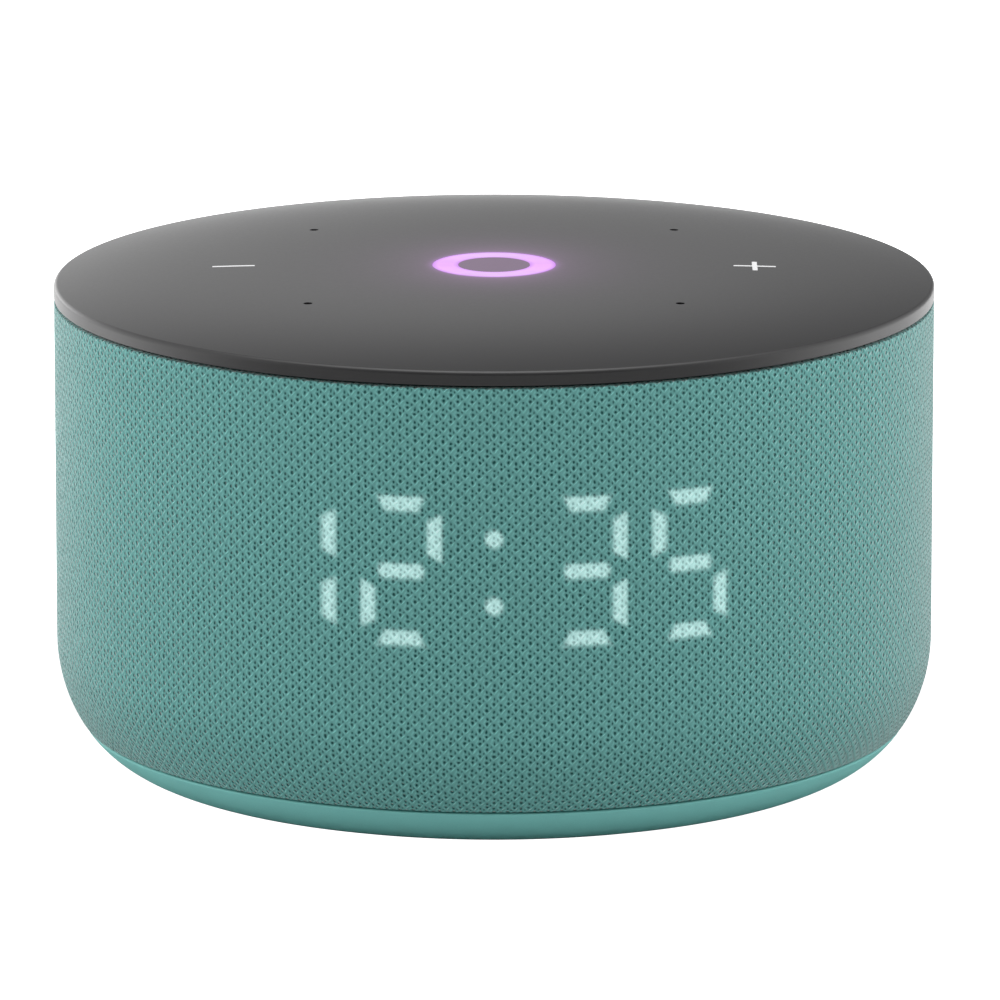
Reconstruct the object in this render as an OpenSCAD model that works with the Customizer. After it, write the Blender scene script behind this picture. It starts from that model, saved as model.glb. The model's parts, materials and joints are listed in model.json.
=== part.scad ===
// Smart speaker: a round, fabric-covered table speaker with a touch panel on top, a clock
// display behind the fabric and a driver that fires down onto a cone in the base.
// +Z is up, the display faces -Y, the sockets face +Y, and the origin is the centre of the base.

/* [Body] */
// Outer radius of the fabric
body_r = 49; // [48.8:0.1:50]
// Height of the top panel's rim above the table
rim_h = 54.2; // [54:0.1:56]
// Rise of the panel's crown above its rim
crown_h = 1.75; // [1.2:0.05:2]
// Width of the rounded lower corner
corner_w = 11.3; // [11:0.1:11.6]
// Height of the rounded lower corner
corner_h = 14.3; // [14.1:0.1:14.4]
// Height of the seam between the base and the fabric
seam_h = 4.9; // [4.8:0.05:5.1]

/* [Walls] */
// Thickness of the knitted fabric
fabric_t = 0.85; // [0.7:0.05:0.9]
// Wall thickness of the grille shell
shell_t = 1.4; // [1.2:0.1:1.5]
// Thickness of the top panel
panel_t = 1.5; // [1.4:0.1:1.8]
// Wall thickness of the sealed enclosure
box_t = 2; // [1.6:0.1:2.2]
// Thickness of the base tray
tray_t = 2; // [1.8:0.1:2.1]

/* [Touch panel] */
// Outer radius of the status ring
ring_r = 6.85; // [6:0.05:8]
// Inner radius of the status ring
ring_in_r = 4; // [3.5:0.05:5]
// Distance of the volume marks from the centre
icon_x = 29; // [27:0.5:31]
// Length of a volume mark's bars
icon_len = 4.7; // [4:0.1:6]
// Width of a volume mark's bars
icon_w = 1.1; // [0.8:0.1:1.4]
// Distance of the microphones from the centre
mic_at_r = 28.8; // [27:0.1:31]
// Radius of a microphone hole
mic_r = 0.5; // [0.4:0.05:0.7]

/* [Clock display] */
// Height of the middle of the digits
digit_z = 32.2; // [32:0.1:32.6]
// Angle between the two digits of a pair, round the body's axis
digit_step = 13.8; // [13.4:0.1:14]
// Angle between the colon and the nearest digit
colon_gap = 11.8; // [11.4:0.1:12]
// Distance between a digit's middle bar and its top bar
bar_step = 7.4; // [7:0.1:7.6]
// Length of one bar of a digit
bar_len = 5.3; // [5:0.1:5.5]
// Width of one bar of a digit
bar_w = 1.9; // [1.6:0.1:2]

/* [Driver] */
// Outer radius of the cone
cone_r = 17.2; // [16.8:0.1:17.4]
// Radius of the voice coil's former
coil_r = 7.25; // [7:0.05:7.4]
// Radius of the magnet
magnet_r = 16; // [14:0.5:16]
// Radius of the driver's flange
flange_r = 25.5; // [25.3:0.1:26]

/* [Passive radiators] */
// Distance between the two round ends of a radiator
radiator_len = 12; // [10:0.5:12]
// Radius of a radiator's plate at its round ends
radiator_r = 5; // [4.5:0.1:5.2]

/* [Rear ports] */
// Height of the sockets' centres
port_z = 20.5; // [20.3:0.1:20.8]
// Sideways distance of the audio jack and the mute switch
port_x = 13; // [12.8:0.1:13.2]
// Radius of the audio jack's bore
jack_r = 1.8; // [1.75:0.01:1.85]
// Travel of the mute switch
mute_travel = 2; // [1.5:0.1:2]

/* [Hidden] */
$fn = 96;
eps = 0.05;
curve_steps = 10;
crown_steps = 14;

// Shells, from the outside in
shell_r = body_r - fabric_t - eps;
shell_in_r = shell_r - shell_t;
panel_z = rim_h - panel_t;
fabric_top = panel_z - 0.25;
edge_bevel = 0.3;
lens_t = 0.8;
crown_power = 4.5;

// Heights of the stack under the panel
frame_top = panel_z - 3.5;
frame_z = frame_top - 2.2;
touch_t = 1;
touch_top = frame_top + touch_t;
guide_z = touch_top + 0.9;

// Base
under_z = 0.5;
foot_h = 1.6;
foot_in_r = 33;
foot_r = 39.2;
tray_top = seam_h - 0.15;
floor_z = under_z + tray_t;
leg_at_r = (foot_in_r + foot_r) / 2;
leg_r = 3;
deflector_r = 24;
deflector_h = 8.5;

// Sealed enclosure
box_z = 16.4;
box_h = 22.1;
box_top = box_z + box_h;
gasket_t = 0.5;
lid_z = box_top + gasket_t;
lid_t = 2;
lid_top = lid_z + lid_t;
box_r = 41.5;
side_x = 38;
rear_y = 31;
post_at_r = 42.9;
post_r = 2.2;
lid_boss_r = 2.6;
lid_screw_spots = [[0, -37.2], [0, 27.8], [26.4, 26.2], [-26.4, 26.2], [23.9, -28.5], [-23.9, -28.5]];

// Boards
board_z = lid_top + 2;
board_t = 1.2;
board_top = board_z + board_t;
board_r = 40;
board_rear_y = 34.5;
standoffs = [for (x = [-28, 28], y = [-18, 18]) [x, y]];
io_t = 1;
io_top = port_z - 1.63;
io_block_x = 18;

// Driver, firing down
flange_top = box_z - 0.4;
flange_z = flange_top - 1.2;
driver_hole_r = 21.6;
driver_screw_r = 23.4;
pole_r = coil_r - 0.65;
winding_r = coil_r + 0.4;
plate_z = 27.5;
plate_t = 2.5;
magnet_t = 5;
magnet_z = plate_z + plate_t;
yoke_z = magnet_z + magnet_t;
spider_z = 24.4;

// Radiators
radiator_z = (box_z + box_top) / 2 + 0.3;
roll_out_r = radiator_r + 3;
radiator_frame_r = roll_out_r + 2.5;

// Display stack, radii from the inside out
led_board_r = 42.2;
led_board_t = 0.6;
light_box_r = led_board_r + led_board_t + 0.6;
diffuser_r = shell_in_r + 0.5;
mask_r = diffuser_r + 0.4;
window_a = 31;
window_h = 9.4;
digit_cells = [-colon_gap - digit_step, -colon_gap, colon_gap, colon_gap + digit_step];
bar_side_a = 4.28;

// Ports
plate_face_r = body_r - 0.2;
port_plate_x = 20;
port_plate_z0 = port_z - 6.2;
port_plate_z1 = port_z + 6.4;
socket_y = 45.8;
jack_y = 46.8;
jack_depth = 14.4;
mute_x = -port_x - mute_travel / 2;

// ---- Shared shapes ----

// Radius of the body's side at height z, measured d inside its surface
function side_r(z, d = 0) = z >= corner_h ? body_r - d
    : body_r - corner_w + (corner_w - d) * sqrt(1 - pow((corner_h - z) / (corner_h - d), 2));

// Angle round the lower corner's ellipse at which the surface is at height z
function corner_a(z, d) = acos((corner_h - z) / (corner_h - d));

// Points up the side from height z0 in the corner to height z1 on the wall
function side_curve(d, z0, z1) = concat(
    [for (i = [0:curve_steps]) let (a = corner_a(z0, d) + i / curve_steps * (90 - corner_a(z0, d)))
        [body_r - corner_w + (corner_w - d) * sin(a), corner_h - (corner_h - d) * cos(a)]],
    z1 > corner_h ? [[body_r - d, z1]] : []);

// Points up the side inside the corner only, from z0 to z1
function corner_curve(d, z0, z1) = [for (i = [0:curve_steps])
    let (z = z0 + i / curve_steps * (z1 - z0)) [side_r(z, d), z]];

function reversed(pts) = [for (i = [len(pts) - 1:-1:0]) pts[i]];

// Height of the panel's crown at radius r
function crown_z(r) = rim_h + crown_h * (1 - pow(r / body_r, crown_power));

// Points along the crown from radius r0 to radius r1, closer together towards the rim
function crown_curve(r0, r1, drop = 0) = [for (i = [0:crown_steps])
    let (r = r0 + (r1 - r0) * (1 - pow(1 - i / crown_steps, 1.6))) [r, crown_z(r) - drop]];

module box(x0, x1, y0, y1, z0, z1) {
    translate([x0, y0, z0]) cube([x1 - x0, y1 - y0, z1 - z0]);
}

module rod(r, z0, z1) {
    translate([0, 0, z0]) cylinder(r = r, h = z1 - z0);
}

module tube(r0, r1, z0, z1) {
    rotate_extrude() translate([r0, z0]) square([r1 - r0, z1 - z0]);
}

// Part of a tube from angle a0 to a1, counted from the front towards +X
module front_arc(r0, r1, a0, a1, z0, z1) {
    rotate([0, 0, a0 - 90]) rotate_extrude(angle = a1 - a0)
        translate([r0, z0]) square([r1 - r0, z1 - z0]);
}

module at_polar(r, angles) {
    for (a = angles) rotate([0, 0, a]) translate([r, 0, 0]) children();
}

module at_spots(spots) {
    for (p = spots) translate([p[0], p[1], 0]) children();
}

// Screw with its head on top: the head's seat is at z
module screw(shank_r, depth, head_r, head_h, z) {
    rod(shank_r, z - depth, z);
    difference() {
        rod(head_r, z, z + head_h);
        translate([0, 0, z + head_h * 0.4]) cylinder(r = head_r * 0.5, h = head_h, $fn = 6);
    }
}

// Outline with two round ends, drawn along Y
module racetrack(r, length) {
    square([2 * r, length], center = true);
    for (s = [-1, 1]) translate([0, s * length / 2]) circle(r = r);
}

// Racetrack prism that stands along +X from x0 to x1 at the radiators' height
module radiator_prism(r, x0, x1) {
    translate([x0, 0, radiator_z]) rotate([0, 90, 0]) linear_extrude(x1 - x0) racetrack(r, radiator_len);
}

module radiator_ring(r0, r1, x0, x1) {
    translate([x0, 0, radiator_z]) rotate([0, 90, 0]) linear_extrude(x1 - x0) difference() {
        racetrack(r1, radiator_len);
        racetrack(r0, radiator_len);
    }
}

// ---- Top ----

module crown_solid(bottom) {
    rotate_extrude() polygon(concat([[0, bottom]], [[body_r - edge_bevel, bottom]],
        reversed(crown_curve(0, body_r - edge_bevel))));
}

module icon_bars(plus) {
    translate([0, 0, guide_z]) linear_extrude(10) {
        square([icon_len, icon_w], center = true);
        if (plus) square([icon_w, icon_len], center = true);
    }
}

// Three arcs under the status ring, between the webs that hold the disc inside it
module lens_legs(z0, z1) {
    for (i = [0:2]) rotate([0, 0, i * 120 + 12]) rotate_extrude(angle = 96)
        translate([ring_in_r + 0.3, z0]) square([ring_r - ring_in_r - 0.6, z1 - z0]);
}

module touch_panel() {
    color([0.21, 0.21, 0.22]) difference() {
        union() {
            rotate_extrude() polygon(concat(crown_curve(0, body_r - 0.6, panel_t), [[body_r, panel_z],
                [body_r, rim_h - edge_bevel]], reversed(crown_curve(0, body_r - edge_bevel))));
            tube(shell_in_r - 1.8, shell_in_r - 0.3, frame_top, panel_z + 1);
        }
        tube(ring_in_r, ring_r, crown_z(0) - lens_t, rim_h + 5);
        lens_legs(panel_z, crown_z(0) - lens_t + 0.2);
        translate([-icon_x, 0, 0]) icon_bars(false);
        translate([icon_x, 0, 0]) icon_bars(true);
        at_polar(mic_at_r, [45:90:315]) {
            rod(mic_r, panel_z, rim_h + 5);
            rod(2.1, panel_z - 1, panel_z + 2.1);
        }
    }
}

module status_ring_lens() {
    color([0.93, 0.72, 0.97]) {
        tube(ring_in_r, ring_r, crown_z(0) - lens_t, crown_z(0));
        lens_legs(crown_z(0) - panel_t, crown_z(0) - lens_t + 0.2);
    }
}

module volume_down_icon() {
    color([0.85, 0.85, 0.86]) intersection() {
        crown_solid(guide_z);
        translate([-icon_x, 0, 0]) icon_bars(false);
    }
}

module volume_up_icon() {
    color([0.85, 0.85, 0.86]) intersection() {
        crown_solid(guide_z);
        translate([icon_x, 0, 0]) icon_bars(true);
    }
}

module touch_board() {
    color([0.1, 0.32, 0.18]) difference() {
        rod(41, frame_top, touch_top);
        at_polar(mic_at_r, [45:90:315]) rod(mic_r, frame_top - 1, touch_top + 1);
    }
}

// Six lights under the status ring and one under each volume mark
module status_leds() {
    color([0.95, 0.95, 0.85]) {
        at_polar((ring_r + ring_in_r) / 2, [0:60:300]) box(-0.8, 0.8, -0.8, 0.8, touch_top, touch_top + 0.6);
        for (s = [-1, 1]) translate([s * icon_x, 0, 0]) box(-0.8, 0.8, -0.8, 0.8, touch_top, touch_top + 0.6);
    }
}

module ring_light_guide() {
    color([0.9, 0.9, 0.95]) {
        tube(ring_in_r, ring_r, guide_z, crown_z(0) - panel_t - eps);
        at_polar((ring_r + ring_in_r) / 2, [30:120:270]) rod(0.5, touch_top, guide_z + 0.2);
    }
}

module microphones() {
    color([0.75, 0.75, 0.72]) at_polar(mic_at_r, [45:90:315])
        box(-1.8, 1.8, -1.3, 1.3, frame_top - 1, frame_top);
}

module mic_gaskets() {
    color([0.12, 0.12, 0.12]) at_polar(mic_at_r, [45:90:315]) tube(0.7, 1.9, touch_top, panel_z + 2.1);
}

module touch_controller() {
    color([0.12, 0.12, 0.13]) {
        box(-3, 3, -13, -7, frame_top - 0.9, frame_top);
        for (x = [-6, 6], y = [-12, -8]) translate([x, y, 0]) box(-0.8, 0.8, -0.5, 0.5, frame_top - 0.5, frame_top);
    }
}

module top_frame() {
    color([0.16, 0.16, 0.17]) difference() {
        tube(38.5, shell_in_r - 0.2, frame_z, frame_top);
        at_polar(post_at_r, [45:90:315]) rod(0.95, frame_z - 1, frame_top + 1);
    }
}

module top_frame_screws() {
    color([0.7, 0.7, 0.72]) at_polar(post_at_r, [45:90:315]) screw(0.8, 6, 1.6, 1.2, frame_top);
}

// ---- Sides ----

// Upright slots of width w all round the given angles, from height z0 to z1
module slots(angles, w, z0, z1) {
    translate([0, 0, z0]) linear_extrude(z1 - z0)
        for (a = angles) rotate([0, 0, a]) translate([30, -w / 2]) square([30, w]);
}

module rear_window(gap) {
    box(-port_plate_x - gap, port_plate_x + gap, 30, 60, port_plate_z0 - gap, port_plate_z1 + gap);
}

module grille_shell() {
    side_slots = [for (s = [0, 180], i = [-5:5]) s + i * 5.6];
    color([0.15, 0.3, 0.3]) difference() {
        union() {
            rotate_extrude() polygon(concat(side_curve(body_r - shell_r, seam_h, fabric_top),
                reversed(side_curve(body_r - shell_in_r, seam_h, fabric_top))));
            tube(shell_in_r - 1.4, shell_in_r + 0.3, frame_z - 1.2, frame_z);
        }
        slots([for (i = [0:39]) i * 9 + 4.5], 3.2, 6.8, 13.4);
        for (z = [17.5, 27.3, 37.1]) slots(side_slots, 2.4, z, z + 8.2);
        front_arc(40, body_r, -window_a, window_a, digit_z - window_h, digit_z + window_h);
        rear_window(0.2);
    }
}

module fabric_sleeve() {
    color([0.33, 0.53, 0.52]) difference() {
        rotate_extrude() polygon(concat(side_curve(0, seam_h, fabric_top),
            reversed(side_curve(fabric_t, seam_h, fabric_top))));
        rear_window(0.2);
    }
}

// ---- Clock display ----

// Places children at each bar of each digit, with the bar's long side along Z
module at_bars() {
    for (a = digit_cells) {
        for (s = [-1, 1], t = [-1, 1]) rotate([0, 0, a + s * bar_side_a])
            translate([0, 0, digit_z + t * bar_step / 2]) children();
        for (t = [-1, 0, 1]) rotate([0, 0, a])
            translate([0, 0, digit_z + t * bar_step]) rotate([0, 90, 0]) children();
    }
}

// Bar-shaped and dot-shaped channels from radius r0 to r1
module bar_channels(r0, r1) {
    at_bars() translate([-bar_w / 2, -r1, -bar_len / 2]) cube([bar_w, r1 - r0, bar_len]);
    for (t = [-1, 1]) translate([0, -r0, digit_z + t * bar_step / 2])
        rotate([90, 0, 0]) cylinder(r = 1.1, h = r1 - r0);
}

module display_board() {
    color([0.1, 0.3, 0.2]) front_arc(led_board_r, led_board_r + led_board_t, -window_a, window_a,
        digit_z - window_h - 0.4, digit_z + window_h + 0.4);
}

module display_leds() {
    led_y = led_board_r + led_board_t;
    color([0.97, 0.97, 0.88]) {
        at_bars() box(-0.4, 0.4, -led_y - 0.5, -led_y, -0.8, 0.8);
        for (t = [-1, 1]) translate([0, 0, digit_z + t * bar_step / 2])
            box(-0.4, 0.4, -led_y - 0.5, -led_y, -0.4, 0.4);
    }
}

module display_light_box() {
    color([0.9, 0.9, 0.9]) difference() {
        front_arc(light_box_r, diffuser_r - eps, -window_a + 0.3, window_a - 0.3,
            digit_z - window_h + 0.3, digit_z + window_h - 0.3);
        bar_channels(light_box_r - 2, diffuser_r + 1);
    }
}

module display_diffuser() {
    color([0.95, 0.97, 0.97]) front_arc(diffuser_r, diffuser_r + 0.35, -window_a + 0.3, window_a - 0.3,
        digit_z - window_h + 0.3, digit_z + window_h - 0.3);
}

module display_mask() {
    color([0.1, 0.12, 0.12]) difference() {
        front_arc(mask_r, mask_r + 0.4, -window_a + 0.3, window_a - 0.3,
            digit_z - window_h + 0.3, digit_z + window_h - 0.3);
        bar_channels(mask_r - 2, mask_r + 2);
    }
}

// ---- Base ----

module base_tray() {
    color([0.42, 0.62, 0.61]) difference() {
        union() {
            rotate_extrude() polygon(concat([[0, under_z]], corner_curve(0, under_z, tray_top),
                [[side_r(tray_top, 2.4), tray_top]], [[side_r(floor_z + 0.6, 2.4), floor_z]], [[0, floor_z]]));
            tube(41.3, 42.9, floor_z + 0.6, seam_h + 2.6);
            at_polar(leg_at_r, [45:90:315]) rod(3.2, floor_z - 0.2, 5);
        }
        tube(foot_in_r, foot_r, under_z - 1, foot_h);
        at_polar(leg_at_r, [45:90:315]) {
            rod(2.4, 0, 2.9);
            rod(1.25, 0, 6);
        }
    }
}

module foot_ring() {
    color([0.25, 0.36, 0.36]) tube(foot_in_r + eps, foot_r - eps, 0, foot_h);
}

module base_screws() {
    color([0.7, 0.7, 0.72]) at_polar(leg_at_r, [45:90:315])
        mirror([0, 0, 1]) screw(1, 7.5, 2.1, 1.2, -2.9);
}

module sound_deflector() {
    color([0.14, 0.14, 0.15]) rotate_extrude() polygon(concat([[0, floor_z]], [[deflector_r, floor_z]],
        [for (i = [12:-1:0]) let (t = i / 12) [deflector_r * t, floor_z + 0.8 + (deflector_h - 0.8) * pow(1 - t, 2)]]));
}

// ---- Sealed enclosure ----

module box_outline(inset) {
    intersection() {
        circle(r = box_r - inset);
        translate([-side_x + inset, -60]) square([2 * (side_x - inset), 60 + rear_y - inset]);
    }
}

module enclosure_body() {
    color([0.17, 0.17, 0.18]) difference() {
        union() {
            difference() {
                translate([0, 0, box_z]) linear_extrude(box_h) box_outline(0);
                translate([0, 0, box_z + box_t]) linear_extrude(box_h) box_outline(box_t);
            }
            at_spots(lid_screw_spots) rod(lid_boss_r, box_z + box_t - eps, box_top);
            at_polar(driver_screw_r, [45:90:315]) rod(2, box_z + box_t - eps, box_z + 4.6);
            at_polar(post_at_r, [45:90:315]) rod(post_r, box_z, frame_z);
            at_polar(leg_at_r, [45:90:315]) rod(leg_r, 5, box_z + 1);
            for (s = [-1, 1]) box(s * io_block_x - 2, s * io_block_x + 2, rear_y - 0.5, rear_y + 4,
                io_top - io_t - 5, io_top - io_t);
        }
        rod(driver_hole_r, box_z - 1, box_z + 2 * box_t);
        radiator_prism(roll_out_r + 0.2, -side_x - 5, side_x + 5);
        at_spots(lid_screw_spots) rod(0.8, box_top - 8, box_top + 1);
        at_polar(driver_screw_r, [45:90:315]) rod(0.9, box_z - 1, box_z + 4);
        at_polar(post_at_r, [45:90:315]) rod(0.8, frame_z - 7, frame_z + 1);
        at_polar(leg_at_r, [45:90:315]) rod(1, 4, 11);
        for (s = [-1, 1]) translate([s * io_block_x, rear_y + 2, 0]) rod(0.7, io_top - io_t - 4.5, io_top + 1);
    }
}

module post_notches() {
    at_polar(post_at_r, [45:90:315]) rod(post_r + 0.15, box_top - 1, lid_top + 1);
}

module enclosure_gasket() {
    color([0.1, 0.1, 0.1]) difference() {
        translate([0, 0, box_top]) linear_extrude(gasket_t) difference() {
            box_outline(0);
            box_outline(box_t);
        }
        post_notches();
    }
}

module enclosure_lid() {
    color([0.17, 0.17, 0.18]) difference() {
        union() {
            translate([0, 0, lid_z]) linear_extrude(lid_t) box_outline(0);
            at_spots(standoffs) rod(2.2, lid_top - eps, board_z);
        }
        post_notches();
        at_spots(lid_screw_spots) rod(1, lid_z - 1, lid_top + 1);
        at_spots(standoffs) rod(0.7, lid_z + 0.5, board_z + 1);
        for (s = [-1, 1]) translate([s * 1.5, 18.5, 0]) rod(0.7, lid_z - 1, lid_top + 1);
    }
}

module enclosure_screws() {
    color([0.7, 0.7, 0.72]) at_spots(lid_screw_spots) screw(0.8, 8.5, 1.7, 1.2, lid_top);
}

// ---- Driver ----

module driver_basket() {
    wall = [[20, flange_z], [flange_r, flange_z], [flange_r, flange_top], [21, flange_top], [21, 20],
        [16.5, 24], [16.5, plate_z], [10, plate_z], [10, plate_z - 1], [15.5, plate_z - 1], [15.5, spider_z - 0.1],
        [14.2, spider_z - 0.1], [14.2, spider_z - 0.5], [15.5, 23.4], [20, 19.4]];
    color([0.3, 0.3, 0.32]) difference() {
        union() {
            rotate_extrude() polygon(wall);
            box(-4, 4, 16, 20.5, 21.8, 22.8);
        }
        at_polar(0, [30:60:330]) box(15, 24, -4.5, 4.5, 17.5, 22.8);
        at_polar(driver_screw_r, [45:90:315]) rod(1.1, flange_z - 1, flange_top + 1);
    }
}

module driver_gasket() {
    color([0.08, 0.08, 0.08]) difference() {
        tube(driver_hole_r, flange_r, flange_top, box_z);
        at_polar(driver_screw_r, [45:90:315]) rod(1.1, flange_top - 1, box_z + 1);
    }
}

module driver_screws() {
    color([0.7, 0.7, 0.72]) at_polar(driver_screw_r, [45:90:315])
        mirror([0, 0, 1]) screw(0.9, 5, 1.7, 1.1, -flange_z);
}

// Half-round roll between the cone and the flange, bulging down
module driver_surround() {
    r0 = cone_r + eps;
    r1 = 20 - eps;
    mid = (r0 + r1) / 2;
    half = (r1 - r0) / 2;
    z = flange_z + 0.5;
    color([0.09, 0.09, 0.09]) rotate_extrude() polygon(concat(
        [for (a = [180:15:360]) [mid + half * cos(a), z + half * sin(a)]],
        [for (a = [360:-15:180]) [mid + (half - 0.35) * cos(a), z + (half - 0.35) * sin(a)]]));
}

module driver_cone() {
    top = 21.6;
    rim = flange_z + 0.3;
    color([0.13, 0.13, 0.14]) rotate_extrude() polygon([[coil_r, top], [coil_r, top - 0.8],
        [coil_r + 0.5, top - 0.8], [cone_r - 0.8, rim], [cone_r, rim], [cone_r, rim + 0.45],
        [cone_r - 0.6, rim + 0.45], [coil_r + 0.5, top]]);
}

module dust_cap() {
    cap_r = coil_r - 0.35;
    color([0.11, 0.11, 0.12]) rotate_extrude() polygon(concat(
        [for (i = [0:6]) [cap_r * i / 6, 18.6 + 2.4 * pow(i / 6, 2)]],
        [for (i = [6:-1:0]) [cap_r * i / 6, 19 + 2.4 * pow(i / 6, 2)]]));
}

module voice_coil_former() {
    color([0.85, 0.75, 0.5]) tube(coil_r - 0.3, coil_r, 20.9, 31);
}

module voice_coil_winding() {
    color([0.72, 0.42, 0.2]) tube(coil_r, winding_r, 26.6, 30.4);
}

module driver_spider() {
    color([0.75, 0.6, 0.3]) rotate_extrude() polygon(concat(
        [for (i = [0:12]) [coil_r + eps + i / 12 * (14.9 - coil_r), spider_z + 0.35 * cos(i * 90) + 0.3]],
        [for (i = [12:-1:0]) [coil_r + eps + i / 12 * (14.9 - coil_r), spider_z + 0.35 * cos(i * 90) + 0.6]]));
}

module driver_top_plate() {
    color([0.55, 0.55, 0.57]) tube(winding_r + 0.35, magnet_r - 1, plate_z, magnet_z);
}

module driver_magnet() {
    color([0.2, 0.2, 0.2]) tube(9, magnet_r, magnet_z, yoke_z);
}

module driver_yoke() {
    color([0.55, 0.55, 0.57]) {
        rod(magnet_r + 0.5, yoke_z, yoke_z + 2.5);
        rod(pole_r, plate_z, yoke_z + 1);
    }
}

module driver_leads() {
    color([0.75, 0.15, 0.12]) for (s = [-1, 1]) translate([s * 1.5, 18.5, 0]) rod(0.6, 22.8, board_z);
}

// ---- Passive radiators ----

module radiator_frames() {
    color([0.2, 0.2, 0.21]) for (s = [0, 1]) mirror([s, 0, 0])
        radiator_ring(roll_out_r, radiator_frame_r, side_x, side_x + 1.6);
}

// Flat skirt with a raised roll between the plate and the frame, on the +X side
module radiator_surround() {
    radiator_ring(radiator_r + eps, roll_out_r - eps, side_x + 0.4, side_x + 0.9);
    radiator_ring(radiator_r + 0.8, roll_out_r - 0.8, side_x + 0.9, side_x + 1.7);
}

module radiator_plate() {
    radiator_prism(radiator_r, side_x + 0.1, side_x + 1.5);
}

module radiator_surround_left() {
    color([0.09, 0.09, 0.09]) mirror([1, 0, 0]) radiator_surround();
}

module radiator_surround_right() {
    color([0.09, 0.09, 0.09]) radiator_surround();
}

module radiator_plate_left() {
    color([0.25, 0.25, 0.27]) mirror([1, 0, 0]) radiator_plate();
}

module radiator_plate_right() {
    color([0.25, 0.25, 0.27]) radiator_plate();
}

// ---- Main board ----

module main_board() {
    color([0.08, 0.3, 0.17]) difference() {
        translate([0, 0, board_z]) linear_extrude(board_t) intersection() {
            circle(r = board_r);
            translate([-60, -60]) square([120, 60 + board_rear_y]);
        }
        at_spots(standoffs) rod(0.9, board_z - 1, board_top + 1);
    }
}

// Screws of the main board and of the rear board, all of one size
module board_screws() {
    color([0.7, 0.7, 0.72]) {
        at_spots(standoffs) screw(0.7, 3.7, 1.5, 0.9, board_top);
        for (s = [-1, 1]) translate([s * io_block_x, rear_y + 2, 0]) screw(0.7, 3.7, 1.5, 0.9, io_top);
    }
}

module processor_shield() {
    color([0.72, 0.73, 0.75]) difference() {
        box(-12, 12, -10, 10, board_top, board_top + 2.2);
        box(-11.8, 11.8, -9.8, 9.8, board_top - 1, board_top + 2);
    }
}

module board_components() {
    color([0.15, 0.15, 0.16]) {
        box(-3.5, 3.5, -3.5, 3.5, board_top, board_top + 1);
        box(17, 23, -5, 1, board_top, board_top + 1);
        for (y = [8, 14]) box(16, 20, y, y + 4, board_top, board_top + 1.8);
        for (x = [-24, -19], y = [-6, 2]) translate([x, y, 0]) rod(1.6, board_top, board_top + 2.1);
        for (x = [-16:4:16]) box(x, x + 1.6, -20, -19.2, board_top, board_top + 0.6);
        box(-6, 6, 24, 27, board_top, board_top + 1.5);
    }
}

module wifi_antennas() {
    color([0.8, 0.55, 0.3]) for (a = [156, 186]) front_arc(shell_in_r - 0.5, shell_in_r - 0.1, a, a + 18, 31, 44);
}

module touch_ribbon() {
    color([0.75, 0.5, 0.2]) {
        box(-4, 4, 20, 20.15, board_top, frame_top);
        box(-4, 4, 20.15, 24, board_top, board_top + 0.15);
    }
}

module display_ribbon() {
    y = -led_board_r - led_board_t / 2;
    color([0.75, 0.5, 0.2]) {
        box(-4, 4, y, y + 0.15, digit_z + window_h + 0.4, board_top + 0.15);
        box(-4, 4, y + 0.15, -34, board_top, board_top + 0.15);
    }
}

module io_ribbon() {
    color([0.75, 0.5, 0.2]) {
        box(-4, 4, 35.2, 35.35, io_top, board_top + 0.15);
        box(-4, 4, 30, 35.2, board_top, board_top + 0.15);
    }
}

// ---- Rear ports ----

module io_board() {
    color([0.08, 0.3, 0.17]) difference() {
        translate([0, 0, io_top - io_t]) linear_extrude(io_t) intersection() {
            circle(r = shell_in_r - 0.7);
            translate([-19.5, rear_y + 0.2]) square([39, 13]);
        }
        box(port_x - 3.2, port_x + 3.2, rear_y + 1, 50, io_top - 2, io_top + 1);
        for (s = [-1, 1]) translate([s * io_block_x, rear_y + 2, 0]) rod(0.9, io_top - 2, io_top + 1);
    }
}

// Rounded slot outline of the USB-C shell, drawn along X
module usb_outline(h) {
    rotate([0, 0, 90]) racetrack(h / 2, 8.94 - 3.26);
}

module usb_c_socket() {
    color([0.75, 0.75, 0.78]) translate([0, socket_y, port_z]) rotate([90, 0, 0]) {
        difference() {
            linear_extrude(7.6) usb_outline(3.26);
            translate([0, 0, -1]) linear_extrude(7.2) usb_outline(2.6);
        }
        translate([-3.3, -0.35, 0.8]) cube([6.6, 0.7, 6]);
    }
}

module audio_jack() {
    color([0.13, 0.13, 0.14]) translate([port_x, jack_y, port_z]) rotate([90, 0, 0]) difference() {
        union() {
            cylinder(r = 3, h = 4);
            translate([-3, -2.5, 3.4]) cube([6, 5, jack_depth - 3.2]);
        }
        translate([0, 0, -1]) cylinder(r = jack_r, h = jack_depth + 0.6);
    }
}

module mute_switch_body() {
    color([0.6, 0.6, 0.62]) difference() {
        box(-port_x - 4.2, -port_x + 4.2, 38.4, 42.6, io_top, io_top + 3.3);
        box(-port_x - 2.4, -port_x + 2.4, 40.4, 43, port_z - 1.1, port_z + 1.1);
    }
}

module mute_slider() {
    color([0.85, 0.35, 0.25]) {
        box(mute_x - 0.9, mute_x + 0.9, 40.9, 45.9, port_z - 0.8, port_z + 0.8);
        difference() {
            box(mute_x - 1.7, mute_x + 1.7, 45.75, 46.9, port_z - 1.5, port_z + 1.5);
            for (i = [-1:1]) box(mute_x + i * 0.9 - 0.2, mute_x + i * 0.9 + 0.2, 46.6, 48, port_z - 2, port_z + 2);
        }
    }
}

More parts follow.
